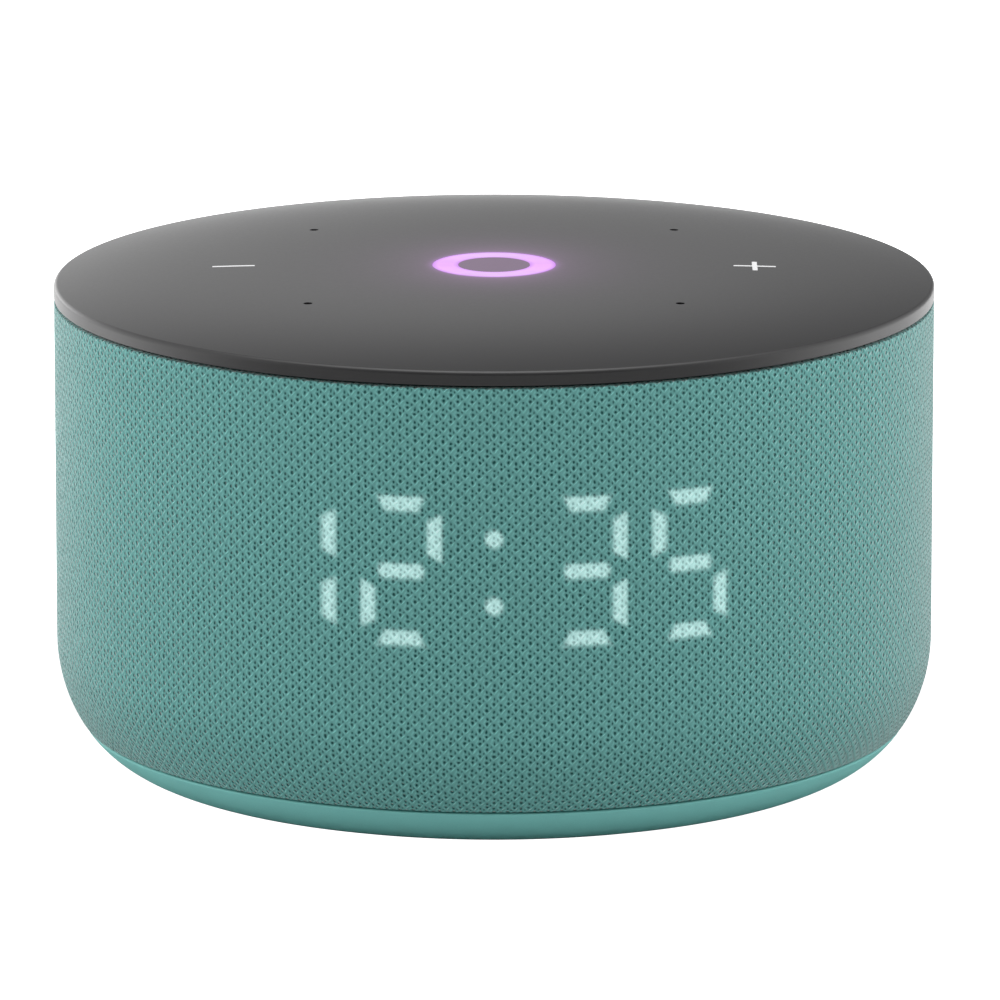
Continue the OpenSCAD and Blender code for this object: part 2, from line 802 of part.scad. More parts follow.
module rear_port_plate() {
    color([0.36, 0.55, 0.54]) difference() {
        intersection() {
            union() {
                tube(shell_in_r, plate_face_r, port_plate_z0, port_plate_z1);
                box(-7.6, 7.6, socket_y - 1.2, 60, port_z - 4.4, port_z + 4.4);
                box(-port_x - 4.2, -port_x + 4.2, 44.3, 60, port_z - 3, port_z + 3);
                box(port_x - 4.2, port_x + 4.2, 44.9, 60, port_z - 4.2, port_z + 4.2);
            }
            box(-port_plate_x, port_plate_x, 30, 60, port_plate_z0, port_plate_z1);
            rod(plate_face_r, port_plate_z0, port_plate_z1);
        }
        translate([0, 0, port_z]) rotate([-90, 0, 0]) {
            translate([0, 0, socket_y]) linear_extrude(9) rotate([0, 0, 90]) racetrack(3.4, 6.2);
            translate([0, 0, 40]) linear_extrude(9) usb_outline(3.46);
            translate([port_x, 0, 40]) cylinder(r = 3.2, h = 12);
        }
        box(-port_x - 3.1, -port_x + 3.1, 45.6, 60, port_z - 1.9, port_z + 1.9);
        box(-port_x - 2.25, -port_x + 2.25, 40, 60, port_z - 1.1, port_z + 1.1);
    }
}

touch_panel();
status_ring_lens();
volume_down_icon();
volume_up_icon();
touch_board();
status_leds();
ring_light_guide();
microphones();
mic_gaskets();
touch_controller();
top_frame();
top_frame_screws();
grille_shell();
fabric_sleeve();
display_board();
display_leds();
display_light_box();
display_diffuser();
display_mask();
base_tray();
foot_ring();
base_screws();
sound_deflector();
enclosure_body();
enclosure_gasket();
enclosure_lid();
enclosure_screws();
driver_basket();
driver_gasket();
driver_screws();
driver_surround();
driver_cone();
dust_cap();
voice_coil_former();
voice_coil_winding();
driver_spider();
driver_top_plate();
driver_magnet();
driver_yoke();
driver_leads();
radiator_frames();
radiator_surround_left();
radiator_surround_right();
radiator_plate_left();
radiator_plate_right();
main_board();
board_screws();
processor_shield();
board_components();
wifi_antennas();
touch_ribbon();
display_ribbon();
io_ribbon();
io_board();
usb_c_socket();
audio_jack();
mute_switch_body();
mute_slider();
rear_port_plate();
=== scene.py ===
"""Looks of a round smart speaker: knitted sleeve over a clock, touch panel with a light ring, and base."""

import json
import math

import bmesh
import bpy
import numpy as np
from mathutils import Matrix, Vector


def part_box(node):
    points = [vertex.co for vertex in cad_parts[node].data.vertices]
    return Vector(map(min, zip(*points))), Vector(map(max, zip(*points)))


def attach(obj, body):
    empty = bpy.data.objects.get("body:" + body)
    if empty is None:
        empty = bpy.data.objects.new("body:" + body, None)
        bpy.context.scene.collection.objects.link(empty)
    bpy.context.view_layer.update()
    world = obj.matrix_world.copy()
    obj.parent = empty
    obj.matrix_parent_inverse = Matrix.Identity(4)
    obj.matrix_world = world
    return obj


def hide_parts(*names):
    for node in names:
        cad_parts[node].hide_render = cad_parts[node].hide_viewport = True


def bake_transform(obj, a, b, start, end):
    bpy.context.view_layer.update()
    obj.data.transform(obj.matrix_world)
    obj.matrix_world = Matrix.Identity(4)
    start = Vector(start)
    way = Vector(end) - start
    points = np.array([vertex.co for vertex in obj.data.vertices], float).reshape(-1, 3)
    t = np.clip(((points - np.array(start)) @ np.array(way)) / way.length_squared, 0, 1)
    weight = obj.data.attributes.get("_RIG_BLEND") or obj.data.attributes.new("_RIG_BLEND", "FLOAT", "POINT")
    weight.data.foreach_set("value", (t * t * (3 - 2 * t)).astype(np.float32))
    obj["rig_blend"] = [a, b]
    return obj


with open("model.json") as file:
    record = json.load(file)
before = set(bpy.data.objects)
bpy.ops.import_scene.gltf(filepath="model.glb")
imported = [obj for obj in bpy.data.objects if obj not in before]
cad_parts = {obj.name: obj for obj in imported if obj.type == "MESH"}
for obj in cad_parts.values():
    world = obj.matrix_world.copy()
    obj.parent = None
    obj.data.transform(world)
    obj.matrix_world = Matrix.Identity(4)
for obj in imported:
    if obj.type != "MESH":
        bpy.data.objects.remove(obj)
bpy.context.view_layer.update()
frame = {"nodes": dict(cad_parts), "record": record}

# ---- Sizes, in metres ----

MM = 0.001
TAU = 2 * math.pi

sleeve_low, sleeve_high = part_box("fabric_sleeve")
panel_low, panel_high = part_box("touch_panel")
tray_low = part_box("base_tray")[0]
foot_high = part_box("foot_ring")[1]
plate_low, plate_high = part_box("rear_port_plate")
lens_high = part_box("status_ring_lens")[1]
minus_low, minus_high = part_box("volume_down_icon")

BODY_R = sleeve_high.x
SEAM_Z = sleeve_low.z
SLEEVE_TOP = sleeve_high.z

# Rounding of the lower corner of the body's side
CORNER_W = 11.3 * MM
CORNER_H = 14.3 * MM

# Touch panel: its crown rises from the rim to the top, more steeply near the rim
PANEL_TOP = panel_high.z
CROWN_H = 1.75 * MM
CROWN_POWER = 4.5
RIM_Z = PANEL_TOP - CROWN_H
PANEL_T = 1.5 * MM
PANEL_Z = RIM_Z - PANEL_T
PANEL_EDGE = 0.5 * MM
SKIRT_IN_R = 44.9 * MM
SKIRT_R = 46.4 * MM

# What is let into the panel: the ring's lens, the marks and the holes of the microphones
RING_R = lens_high.x
RING_IN_R = 4.0 * MM
LENS_T = 0.8 * MM
MIC_COUNT = 4
MIC_AT_R = 28.8 * MM
MIC_R = 0.5 * MM
ICON_X = (minus_low.x + minus_high.x) / 2
ICON_LEN = minus_high.x - minus_low.x
ICON_BAR = 0.55 * MM

# Points round a turned piece, and round a small one
SEGMENTS = 384
FEW_SEGMENTS = 192

# Knit: one column is one stitch wide, and the stitches of neighbouring rows are half a stitch apart
COLUMNS = 396
ROW = 0.737 * MM
RELIEF = 0.07 * MM
KNIT_LEVEL = 0.60

# Soft ovals that make up a stitch: place across and down, width, height, lean and weight
# Through the colour, the holes also paint shade and the yarn ovals paint highlights on the strands
KNIT_HOLES = (
    (0.0, 0.37, 0.17, 0.21, 0.0, 0.86),
    (0.0, -0.39, 0.16, 0.23, 0.0, 0.68),
    (0.53, -0.06, 0.13, 0.22, 0.0, 0.46),
)
KNIT_YARN = (
    # The first yarn oval, the leaning stroke, weighs most: a painted highlight where light catches the loops
    (0.30, 0.62, 0.12, 0.30, -0.7, 0.68),
    (-0.27, 0.66, 0.12, 0.28, 0.6, 0.30),
    (-0.32, -0.06, 0.12, 0.36, -0.5, 0.20),
    (0.0, -0.01, 0.13, 0.12, 0.0, 0.16),
)

# Clock digits on the sleeve, as angles round the body from the front and as heights
DIGIT_Z = 32.2 * MM
BAR_STEP = 7.4 * MM
BAR_LEN = 5.12 * MM
BAR_W = 1.56 * MM
BAR_TAPER = 0.75 * MM
BAR_SIDE = math.radians(4.28)
DIGIT_ANGLES = [math.radians(a) for a in (-25.6, -11.8, 11.8, 25.6)]
DOT_R = 0.92 * MM
SOFT_EDGE = 0.62 * MM
LIT_BARS = {
    "1": ("upper_right", "lower_right"),
    "2": ("top", "upper_right", "middle", "lower_left", "bottom"),
    "3": ("top", "upper_right", "middle", "lower_right", "bottom"),
    "5": ("top", "upper_left", "middle", "lower_right", "bottom"),
}
CLOCK = "1235"


# ---- Numbers that work in numpy and in node trees alike ----


class Number:
    """A value in a node tree. Arithmetic on it adds Math nodes."""

    def __init__(self, socket):
        self.socket = socket

    def math(self, operation, *others):
        return math_node(self.socket.id_data, operation, self, *others)

    def __add__(self, other):
        return self.math("ADD", other)

    def __sub__(self, other):
        return self.math("SUBTRACT", other)

    def __mul__(self, other):
        return self.math("MULTIPLY", other)

    def __truediv__(self, other):
        return self.math("DIVIDE", other)

    def __pow__(self, other):
        return self.math("POWER", other)

    def __neg__(self):
        return self * -1.0

    __radd__ = __add__


def math_node(tree, operation, *values):
    node = tree.nodes.new("ShaderNodeMath")
    node.operation = operation
    for target, value in zip(node.inputs, values):
        feed(value, target)
    return Number(node.outputs[0])


def feed(value, target):
    """Gives a socket a constant, or links it to a Number or to another socket."""
    if isinstance(value, Number):
        value = value.socket
    if isinstance(value, bpy.types.NodeSocket):
        target.id_data.links.new(value, target)
    elif value is not None:
        target.default_value = value


def fract(x):
    return x.math("FRACT") if isinstance(x, Number) else x - np.floor(x)


def exp(x):
    return x.math("EXPONENT") if isinstance(x, Number) else np.exp(x)


def cos(x):
    return x.math("COSINE") if isinstance(x, Number) else np.cos(x)


def knit_height(u, v, depth=1.0):
    """Height of the knit from about 0 in its holes to 1 on its strands, at column u and row v."""
    p = (u + v) * 0.5
    q = (u - v) * 0.5

    def oval(across, down, wide, tall, lean, weight):
        """Soft oval at one place of every stitch. Its long side leans across as it goes down."""
        dp = fract(p - (across + down) / 2 + 0.5) - 0.5
        dq = fract(q - (across - down) / 2 + 0.5) - 0.5
        dv = dp - dq
        du = (dp + dq - dv * lean) * (1 / wide)
        dv = dv * (1 / tall)
        return exp(-(du * du + dv * dv)) * weight

    holes = sum(oval(*place) for place in KNIT_HOLES)
    yarn = sum(oval(*place) for place in KNIT_YARN)
    return yarn + KNIT_LEVEL - holes * depth


# ---- Meshes ----


def new_object(name, data, material=None):
    """Puts an object in the scene."""
    obj = bpy.data.objects.new(name, data)
    bpy.context.scene.collection.objects.link(obj)
    if material:
        data.materials.append(material)
    return obj


def add_object(name, mesh, material, body="housing", replaces=()):
    """Puts a mesh in the scene as a piece that rides on a CAD body."""
    obj = new_object(name, mesh, material)
    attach(obj, body)
    if replaces:
        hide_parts(*replaces)
    return obj


def rounded(corners, steps=6, support=0.05 * MM):
    """Profile through (radius, height, corner radius) points, with an arc at each corner that has one."""
    points = [Vector(c[:2]) for c in corners]
    out = []
    for i, (point, corner) in enumerate(zip(points, corners)):
        turn = corner[2] if len(corner) > 2 else 0
        if not turn:
            out.append(point)
            continue
        back = (points[i - 1] - point).normalized()
        ahead = (points[(i + 1) % len(points)] - point).normalized()
        half = math.acos(max(-1.0, min(1.0, back.dot(ahead)))) / 2
        reach = turn / math.tan(half)
        centre = point + (back + ahead).normalized() * (turn / math.sin(half))
        start, end = point + back * reach - centre, point + ahead * reach - centre
        sweep = math.atan2(start.x * end.y - start.y * end.x, start.dot(end))
        out.append(point + back * (reach + support))
        for k in range(steps + 1):
            out.append(centre + Matrix.Rotation(sweep * k / steps, 2) @ start)
        out.append(point + ahead * (reach + support))
    return [(p.x, p.y) for p in out]


def lathe_mesh(name, profile, segments=SEGMENTS):
    """Mesh of a closed (radius, height) profile turned round Z."""
    ring = np.array(profile, float)
    count = len(ring)
    turn = np.arange(segments) * TAU / segments
    xy = np.stack([np.sin(turn), -np.cos(turn)], 1)
    points = np.zeros((count, segments, 3))
    points[:, :, :2] = ring[:, 0, None, None] * xy[None]
    points[:, :, 2] = ring[:, 1, None]
    here = np.arange(segments)
    beside = (here + 1) % segments
    row = np.arange(count)[:, None] * segments
    ahead = np.roll(row, -1, axis=0)
    quads = np.stack([row + here, row + beside, ahead + beside, ahead + here], 2)
    mesh = solid_mesh(name, points.reshape(-1, 3), quads.reshape(-1, 4).tolist())
    smooth(mesh)
    return mesh


def solid_mesh(name, points, faces):
    """Mesh of a solid from its points and faces."""
    mesh = bpy.data.meshes.new(name)
    mesh.from_pydata(points, [], faces)
    clean(mesh)
    return mesh


def finished_mesh(name, bm):
    """Mesh from a bmesh that is done with."""
    mesh = bpy.data.meshes.new(name)
    bm.to_mesh(mesh)
    bm.free()
    return mesh


def clean(mesh, merge=0.5e-6):
    """Merges doubled points and turns the faces outwards."""
    bm = bmesh.new()
    bm.from_mesh(mesh)
    bmesh.ops.remove_doubles(bm, verts=bm.verts, dist=merge)
    bmesh.ops.dissolve_degenerate(bm, edges=bm.edges, dist=merge)
    bmesh.ops.recalc_face_normals(bm, faces=bm.faces)
    bm.to_mesh(mesh)
    bm.free()


def smooth(mesh, sharp=32):
    """Smooth shading, with edges sharper than so many degrees left sharp."""
    mesh.shade_smooth()
    mesh.set_sharp_from_angle(angle=math.radians(sharp))


def box_mesh(name, low, high):
    bm = bmesh.new()
    bmesh.ops.create_cube(bm, size=1)
    low, high = Vector(low), Vector(high)
    for vert in bm.verts:
        vert.co = (low + high) / 2 + vert.co * (high - low)
    return finished_mesh(name, bm)


def rod_mesh(name, centre, radius, low, high, segments=48):
    """Upright cylinder between two heights."""
    bm = bmesh.new()
    bmesh.ops.create_cone(bm, cap_ends=True, segments=segments, radius1=radius, radius2=radius,
                          depth=high - low)
    bmesh.ops.translate(bm, verts=bm.verts, vec=(centre[0], centre[1], (low + high) / 2))
    return finished_mesh(name, bm)


def combine(mesh, steps):
    """The mesh after (operation, other mesh) steps, each UNION, DIFFERENCE or INTERSECT."""
    body = new_object("combine_body", mesh)
    tools = []
    for operation, other in steps:
        tools.append(new_object("combine_tool", other))
        modifier = body.modifiers.new("combine", "BOOLEAN")
        modifier.operation = operation
        modifier.solver = "EXACT"
        modifier.object = tools[-1]
    result = bpy.data.meshes.new_from_object(body.evaluated_get(bpy.context.evaluated_depsgraph_get()))
    for obj in [body, *tools]:
        bpy.data.objects.remove(obj)
    result.name = mesh.name
    return result


def cut(mesh, cutters):
    """The mesh with the cutters' space taken out of it."""
    return combine(mesh, [("DIFFERENCE", cutter) for cutter in cutters])


def soften(mesh, width, where=lambda point: True):
    """Rounds off the sharp edges whose middle is where it should be rounded."""
    flat, sharp = math.radians(0.3), math.radians(40)
    bm = bmesh.new()
    bm.from_mesh(mesh)
    bmesh.ops.remove_doubles(bm, verts=bm.verts, dist=1e-6)
    bmesh.ops.dissolve_limit(bm, angle_limit=flat, verts=bm.verts, edges=bm.edges)
    edges = [e for e in bm.edges if len(e.link_faces) == 2 and e.calc_face_angle() > sharp
             and where((e.verts[0].co + e.verts[1].co) / 2)]
    bmesh.ops.bevel(bm, geom=edges, offset=width, offset_type="OFFSET", segments=3, profile=0.5,
                    affect="EDGES", clamp_overlap=True)
    bmesh.ops.recalc_face_normals(bm, faces=bm.faces)
    bm.to_mesh(mesh)
    bm.free()
    smooth(mesh, 28)
    return mesh


def pill(x, z, half, radius, steps=16):
    """Outline (x, z) with two round ends, half its straight length to each side of x."""
    turns = [math.pi * (0.5 + k / steps) for k in range(steps + 1)]
    left = [(x - half + radius * math.cos(a), z + radius * math.sin(a)) for a in turns]
    return left + [(2 * x - px, 2 * z - pz) for px, pz in left]


def rectangle(x0, x1, z0, z1):
    return [(x0, z0), (x1, z0), (x1, z1), (x0, z1)]


def prism_mesh(name, outline, near, far):
    """Solid between two y values with an (x, z) outline."""
    count = len(outline)
    points = [(x, y, z) for y in (near, far) for x, z in outline]
    faces = [tuple(range(count)), tuple(reversed(range(count, 2 * count)))]
    faces += [(k, k + count, (k + 1) % count + count, (k + 1) % count) for k in range(count)]
    return solid_mesh(name, points, faces)


# ---- Materials ----

WHITE = (1.0, 1.0, 1.0, 1.0)


def new_material(name):
    """A material with one Principled shader, and its node tree and shader."""
    material = bpy.data.materials.new(name)
    material.use_nodes = True
    tree = material.node_tree
    return material, tree, tree.nodes["Principled BSDF"]


def set_shader(shader, **values):
    """Sets or links the shader's sockets, named with underscores for spaces."""
    for key, value in values.items():
        feed(value, shader.inputs[key.replace("_", " ")])


def coordinates(tree, stretch=(1, 1, 1)):
    """Vector socket of the place on the piece, scaled along each axis."""
    source = tree.nodes.new("ShaderNodeTexCoord").outputs["Object"]
    if stretch == (1, 1, 1):
        return source
    mapping = tree.nodes.new("ShaderNodeMapping")
    mapping.inputs["Scale"].default_value = stretch
    feed(source, mapping.inputs["Vector"])
    return mapping.outputs[0]


def axes(vector):
    """The three parts of a vector."""
    split = vector.id_data.nodes.new("ShaderNodeSeparateXYZ")
    feed(vector, split.inputs[0])
    return [Number(part) for part in split.outputs]


def axis_value(tree, axis):
    """Place along one of the body's axes, in millimetres."""
    return axes(coordinates(tree))["XYZ".index(axis)] * (1 / MM)


def radius_from_axis(tree):
    """Distance from the body's axis, in millimetres."""
    x, y, _ = axes(coordinates(tree))
    return (x * x + y * y) ** 0.5 * (1 / MM)


def noise(vector, scale, detail=2.0, roughness=0.5):
    """Noise value from 0 to 1."""
    node = vector.id_data.nodes.new("ShaderNodeTexNoise")
    feed(vector, node.inputs["Vector"])
    node.inputs["Scale"].default_value = scale
    node.inputs["Detail"].default_value = detail
    node.inputs["Roughness"].default_value = roughness
    return Number(node.outputs["Fac"])


def blend_colours(factor, first, second):
    """Colour socket between two colours."""
    node = factor.socket.id_data.nodes.new("ShaderNodeMix")
    node.data_type = "RGBA"
    feed(factor, node.inputs["Factor"])
    feed(rgba(first), node.inputs["A"])
    feed(rgba(second), node.inputs["B"])
    return node.outputs["Result"]


def rgba(colour):
    return (*colour, 1.0) if isinstance(colour, tuple) and len(colour) == 3 else colour


def remap(value, low, high, to_low=0.0, to_high=1.0):
    """The value moved from one range to another and kept inside it."""
    node = value.socket.id_data.nodes.new("ShaderNodeMapRange")
    for index, number in enumerate((value, low, high, to_low, to_high)):
        feed(number, node.inputs[index])
    return Number(node.outputs[0])


def bump(height, distance, strength=1.0):
    """Normal of a surface raised by height times distance."""
    node = height.socket.id_data.nodes.new("ShaderNodeBump")
    node.inputs["Strength"].default_value = strength
    node.inputs["Distance"].default_value = distance
    feed(height, node.inputs["Height"])
    return node.outputs["Normal"]


def knit_material():
    """Teal knit: holes darkened with painted shade between strands lightened with painted highlights, fine
    fibres, and the clock's light coming through.
    """
    material, tree, shader = new_material("knit_teal")
    uv = tree.nodes.new("ShaderNodeUVMap")
    uv.uv_map = "knit"
    place = uv.outputs[0]
    u, v, _ = axes(place)
    wander = 0.55
    u = u + (noise(place, 0.45) - 0.5) * wander
    v = -v + (noise(coordinates(tree, (1, 1, 2)), 700.0) - 0.5) * wander
    depth = remap(noise(place, 1.1, 1.0), 0.3, 0.7, 0.70, 1.30)
    fibres = noise(coordinates(tree, (1, 1, 1.6)), 5200.0, 3.0, 0.6)
    height = knit_height(u, v, depth) + (fibres - 0.5) * 0.22
    # The blend by height paints shade into the holes and highlights onto the strands; pale is a patchy
    # lighter tone of the yarn
    dark, light, pale = (0.008, 0.085, 0.078), (0.315, 0.800, 0.760), (0.16, 0.40, 0.38)
    colour = blend_colours(remap(height, 0.08, 1.12), dark, light)
    faded = blend_colours(remap(noise(place, 0.12), 0.35, 0.65, 0.0, 0.14), colour, pale)
    lit = tree.nodes.new("ShaderNodeAttribute")
    lit.attribute_name = "lit"
    glow = Number(lit.outputs["Fac"]) * remap(height, 0.0, 1.0, 0.72, 1.0)
    lit_hole, lit_strand = (0.62, 0.96, 0.94), (0.86, 1.0, 0.97)
    set_shader(
        shader, Base_Color=faded, Roughness=0.88, Specular_IOR_Level=0.22,
        Normal=bump(height, 0.16 * MM, 0.9), Sheen_Weight=1.0, Sheen_Roughness=0.32, Sheen_Tint=WHITE,
        Emission_Color=blend_colours(remap(height, 0.2, 1.0), lit_hole, lit_strand),
        Emission_Strength=glow * 0.51,
    )
    return material


def panel_material():
    """Dark satin plastic with a fine grain, a lighter rim band of painted light, and the light ring's glow
    painted round the ring.
    """
    material, tree, shader = new_material("panel_satin")
    grain = noise(coordinates(tree), 2600.0, 2.0, 0.6)
    radius = radius_from_axis(tree)
    body_r, ring_r, ring_in_r, step = BODY_R / MM, RING_R / MM, RING_IN_R / MM, 0.05
    # rim lightens the base colour on the panel's edge band: painted light standing in for the side lights'
    # reflection there
    rim = remap(radius, body_r - 0.6, body_r - 0.1)
    forward = axis_value(tree, "Y") / radius
    # The panel's emission paints the ring's glow on the plastic: a halo fading outwards, brighter at the
    # front and the back, a violet fringe at the ring's edge, and a glow inside the ring
    past_ring = remap(radius, ring_r - step, ring_r)
    painted_ring_halo = exp((radius - ring_r) * -0.22) * past_ring * (0.74 + forward * forward * 0.60)
    painted_ring_fringe = exp((radius - ring_r) * -3.0) * past_ring
    inside = remap(radius, ring_in_r + step, ring_in_r)
    dark, light = (0.016, 0.016, 0.017), (0.034, 0.033, 0.034)
    pink, violet = (0.92, 0.46, 1.0), (0.66, 0.22, 1.0)
    set_shader(
        shader, Base_Color=blend_colours(grain * 0.3 + rim * 0.45, dark, light),
        Roughness=remap(grain, 0.2, 0.8, 0.275, 0.305), IOR=1.48, Normal=bump(grain, 0.0012 * MM, 0.3),
        Emission_Color=blend_colours(painted_ring_fringe, pink, violet),
        Emission_Strength=painted_ring_halo * 0.100 + inside * 0.130 + painted_ring_fringe * 0.22,
    )
    return material


def ring_material():
    """Milky lens, lit pink, that turns violet towards its edges and paler at the front and the back."""
    material, tree, shader = new_material("ring_lit")
    radius = radius_from_axis(tree)
    forward = axis_value(tree, "Y") / radius
    pink, pale, violet = (0.76, 0.35, 0.89), (0.71, 0.44, 0.82), (0.50, 0.16, 0.74)
    middle = (RING_R + RING_IN_R) / 2 / MM
    half = (RING_R - RING_IN_R) / 2 / MM
    off = (radius - middle) / half
    edge = remap(off * off, 0.35, 1.05)
    uneven = noise(coordinates(tree), 420.0, 1.0)
    set_shader(
        shader, Base_Color=blend_colours(uneven, (0.12, 0.06, 0.14), (0.16, 0.09, 0.18)),
        Roughness=0.35,
        Emission_Color=blend_colours(edge, blend_colours(forward * forward, pink, pale), violet),
        Emission_Strength=remap(uneven, 0.3, 0.7, 0.84, 0.92),
    )
    return material


def uneven_gloss(cloud, roughness):
    """Roughness that wanders a little about its mean."""
    return remap(cloud, 0.3, 0.7, roughness - 0.06, roughness + 0.06)


def surface(name, dark, light, scale, roughness, metallic=0.0, depth=0.0, stretch=(1, 1, 1), detail=3.0,
            **sockets):
    """A moulded, milled or painted surface: two tones, an uneven gloss and a grain, all from noise."""
    material, tree, shader = new_material(name)
    grain = noise(coordinates(tree, stretch), scale, detail)
    cloud = noise(coordinates(tree), scale * 0.04 + 20)
    tone = grain * 0.6 + cloud * 0.4
    set_shader(
        shader, Base_Color=blend_colours(remap(tone, 0.35, 0.65), dark, light),
        Roughness=uneven_gloss(cloud, roughness), Metallic=metallic,
        Normal=bump(grain, depth) if depth else None, **sockets,
    )
    return material


def lines(name, dark, light, axis, pitch, roughness, depth, **sockets):
    """A surface of fine parallel lines across an axis, as on a winding, a ribbon cable or a ribbed sheet."""
    material, tree, shader = new_material(name)
    across = axes(coordinates(tree))["XYZ".index(axis)]
    wave = cos(across * (TAU / pitch)) * 0.5 + 0.5
    mottle = noise(coordinates(tree), 900.0, 3.0)
    set_shader(
        shader, Base_Color=blend_colours(wave * 0.8 + mottle * 0.2, dark, light),
        Roughness=uneven_gloss(mottle, roughness), Normal=bump(wave, depth), **sockets,
    )
    return material


def board_material():
    """Green solder mask, lighter along the copper tracks under it."""
    material, tree, shader = new_material("board_green")
    cells = tree.nodes.new("ShaderNodeTexVoronoi")
    cells.feature = "DISTANCE_TO_EDGE"
    cells.inputs["Scale"].default_value = 420.0
    feed(coordinates(tree), cells.inputs["Vector"])
    track = remap(Number(cells.outputs["Distance"]), 0.05, 0.09, 1.0, 0.0)
    mottle = noise(coordinates(tree), 300.0, 3.0)
    mask = blend_colours(mottle, (0.010, 0.085, 0.038), (0.014, 0.115, 0.052))
    set_shader(
        shader, Base_Color=blend_colours(track * 0.7, mask, (0.03, 0.21, 0.10)),
        Roughness=uneven_gloss(mottle, 0.34), Normal=bump(track, 0.03 * MM), Coat_Weight=0.25,
    )
    return material


def led_material():
    """White package with patches of yellow phosphor, which glow a little."""
    material, tree, shader = new_material("led_white")
    mottle = noise(coordinates(tree), 1500.0)
    white, yellow = (0.85, 0.85, 0.80), (0.90, 0.80, 0.35)
    set_shader(
        shader, Base_Color=blend_colours(remap(mottle, 0.4, 0.6), white, yellow),
        Roughness=0.3, Emission_Color=(1.0, 0.95, 0.85, 1.0), Emission_Strength=mottle * 0.3,
    )
    return material


def slot_materials():
    """One finish for each of the record's material slots that a CAD node shows."""
    return {
        "panel_plastic": panel,
        "ring_lens": ring,
        "knit_fabric": knit,
        "base_plastic": base,
        "foot_rubber": rubber_foot,
        "icon_plastic": icon,
        "circuit_board": board_material(),
        "led": led_material(),
        "light_guide": surface("guide_clear", (0.80, 0.80, 0.84), (0.88, 0.88, 0.92), 800, 0.16),
        "metal_can": surface(
            "can_steel", (0.55, 0.55, 0.54), (0.68, 0.68, 0.66), 2500, 0.34, metallic=1.0, stretch=(1, 8, 1)),
        "black_rubber": black_rubber,
        "chip": surface(
            "chip_epoxy", (0.016, 0.016, 0.018), (0.030, 0.030, 0.032), 5000, 0.55, depth=0.006 * MM),
        "inner_plastic": surface(
            "inner_black", (0.020, 0.020, 0.022), (0.034, 0.034, 0.036), 2600, 0.5, depth=0.008 * MM),
        "screw_steel": surface(
            "screw_zinc", (0.50, 0.51, 0.53), (0.68, 0.69, 0.70), 3200, 0.3, metallic=1.0, stretch=(1, 1, 6)),
        "grille_plastic": surface(
            "grille_teal", (0.035, 0.110, 0.105), (0.050, 0.145, 0.140), 1800, 0.55, depth=0.01 * MM),
        "white_plastic": surface(
            "box_white", (0.78, 0.78, 0.77), (0.86, 0.86, 0.85), 1500, 0.45, depth=0.006 * MM),
        "diffuser_film": surface("film_milky", (0.78, 0.82, 0.82), (0.86, 0.90, 0.90), 2200, 0.35),
        "mask_film": surface("film_dark", (0.012, 0.014, 0.014), (0.022, 0.024, 0.024), 2200, 0.42),
        "basket_steel": surface(
            "basket_black", (0.045, 0.045, 0.050), (0.075, 0.075, 0.080), 1800, 0.42, metallic=0.6,
            depth=0.01 * MM),
        "cone_paper": surface(
            "cone_pulp", (0.018, 0.018, 0.020), (0.040, 0.040, 0.042), 1600, 0.78, stretch=(1, 1, 3),
            depth=0.04 * MM, detail=6.0),
        "former_film": surface("former_amber", (0.48, 0.30, 0.10), (0.60, 0.40, 0.16), 900, 0.32),
        "copper": lines(
            "winding_copper", (0.42, 0.17, 0.07), (0.80, 0.42, 0.22), "Z", 0.2 * MM, 0.3, depth=0.05 * MM,
            Metallic=1.0),
        "spider_cloth": spider_cloth,
        "pole_steel": surface(
            "pole_plated", (0.42, 0.42, 0.44), (0.56, 0.56, 0.58), 1500, 0.32, metallic=1.0,
            stretch=(1, 1, 5)),
        "ferrite": surface(
            "ferrite_grey", (0.035, 0.034, 0.033), (0.070, 0.068, 0.066), 2400, 0.62, depth=0.02 * MM),
        "lead_wire": surface(
            "lead_red", (0.40, 0.020, 0.015), (0.56, 0.036, 0.026), 2000, 0.45, depth=0.01 * MM),
        "radiator_metal": surface(
            "radiator_grey", (0.10, 0.10, 0.11), (0.16, 0.16, 0.17), 2600, 0.4, metallic=0.8,
            stretch=(1, 10, 1)),
        "antenna_foil": surface(
            "foil_copper", (0.60, 0.30, 0.16), (0.78, 0.46, 0.28), 1800, 0.28, metallic=1.0),
        "ribbon_film": lines(
            "ribbon_amber", (0.30, 0.13, 0.025), (0.60, 0.32, 0.08), "X", 0.5 * MM, 0.35, depth=0.01 * MM),
        "socket_metal": socket,
        "jack_plastic": jack,
        "slider_plastic": slider,
        "port_plastic": port,
    }


knit = knit_material()
panel = panel_material()
ring = ring_material()
# The marks' white emission is painted glow that makes the inlaid marks read brighter; no lamp lights them
icon = surface("icon_painted_glow", (0.40, 0.40, 0.41), (0.46, 0.46, 0.47), 2500, 0.4,
               Emission_Color=WHITE, Emission_Strength=0.42)
base = surface("base_teal", (0.280, 0.750, 0.710), (0.300, 0.785, 0.740), 5200, 0.50, depth=0.006 * MM,
               Specular_IOR_Level=0.35)
port = surface("port_teal", (0.085, 0.235, 0.222), (0.105, 0.275, 0.260), 4200, 0.5, depth=0.008 * MM)
socket = surface("socket_nickel", (0.55, 0.55, 0.54), (0.70, 0.70, 0.69), 3000, 0.26, metallic=1.0,
                 stretch=(1, 6, 1))
contact = surface("contact_gold", (0.70, 0.46, 0.16), (0.84, 0.60, 0.26), 3000, 0.28, metallic=1.0)
jack = surface("jack_black", (0.014, 0.014, 0.015), (0.026, 0.026, 0.028), 4000, 0.4, depth=0.006 * MM)
slider = surface("slider_orange", (0.66, 0.13, 0.045), (0.78, 0.18, 0.065), 3000, 0.45, depth=0.006 * MM)
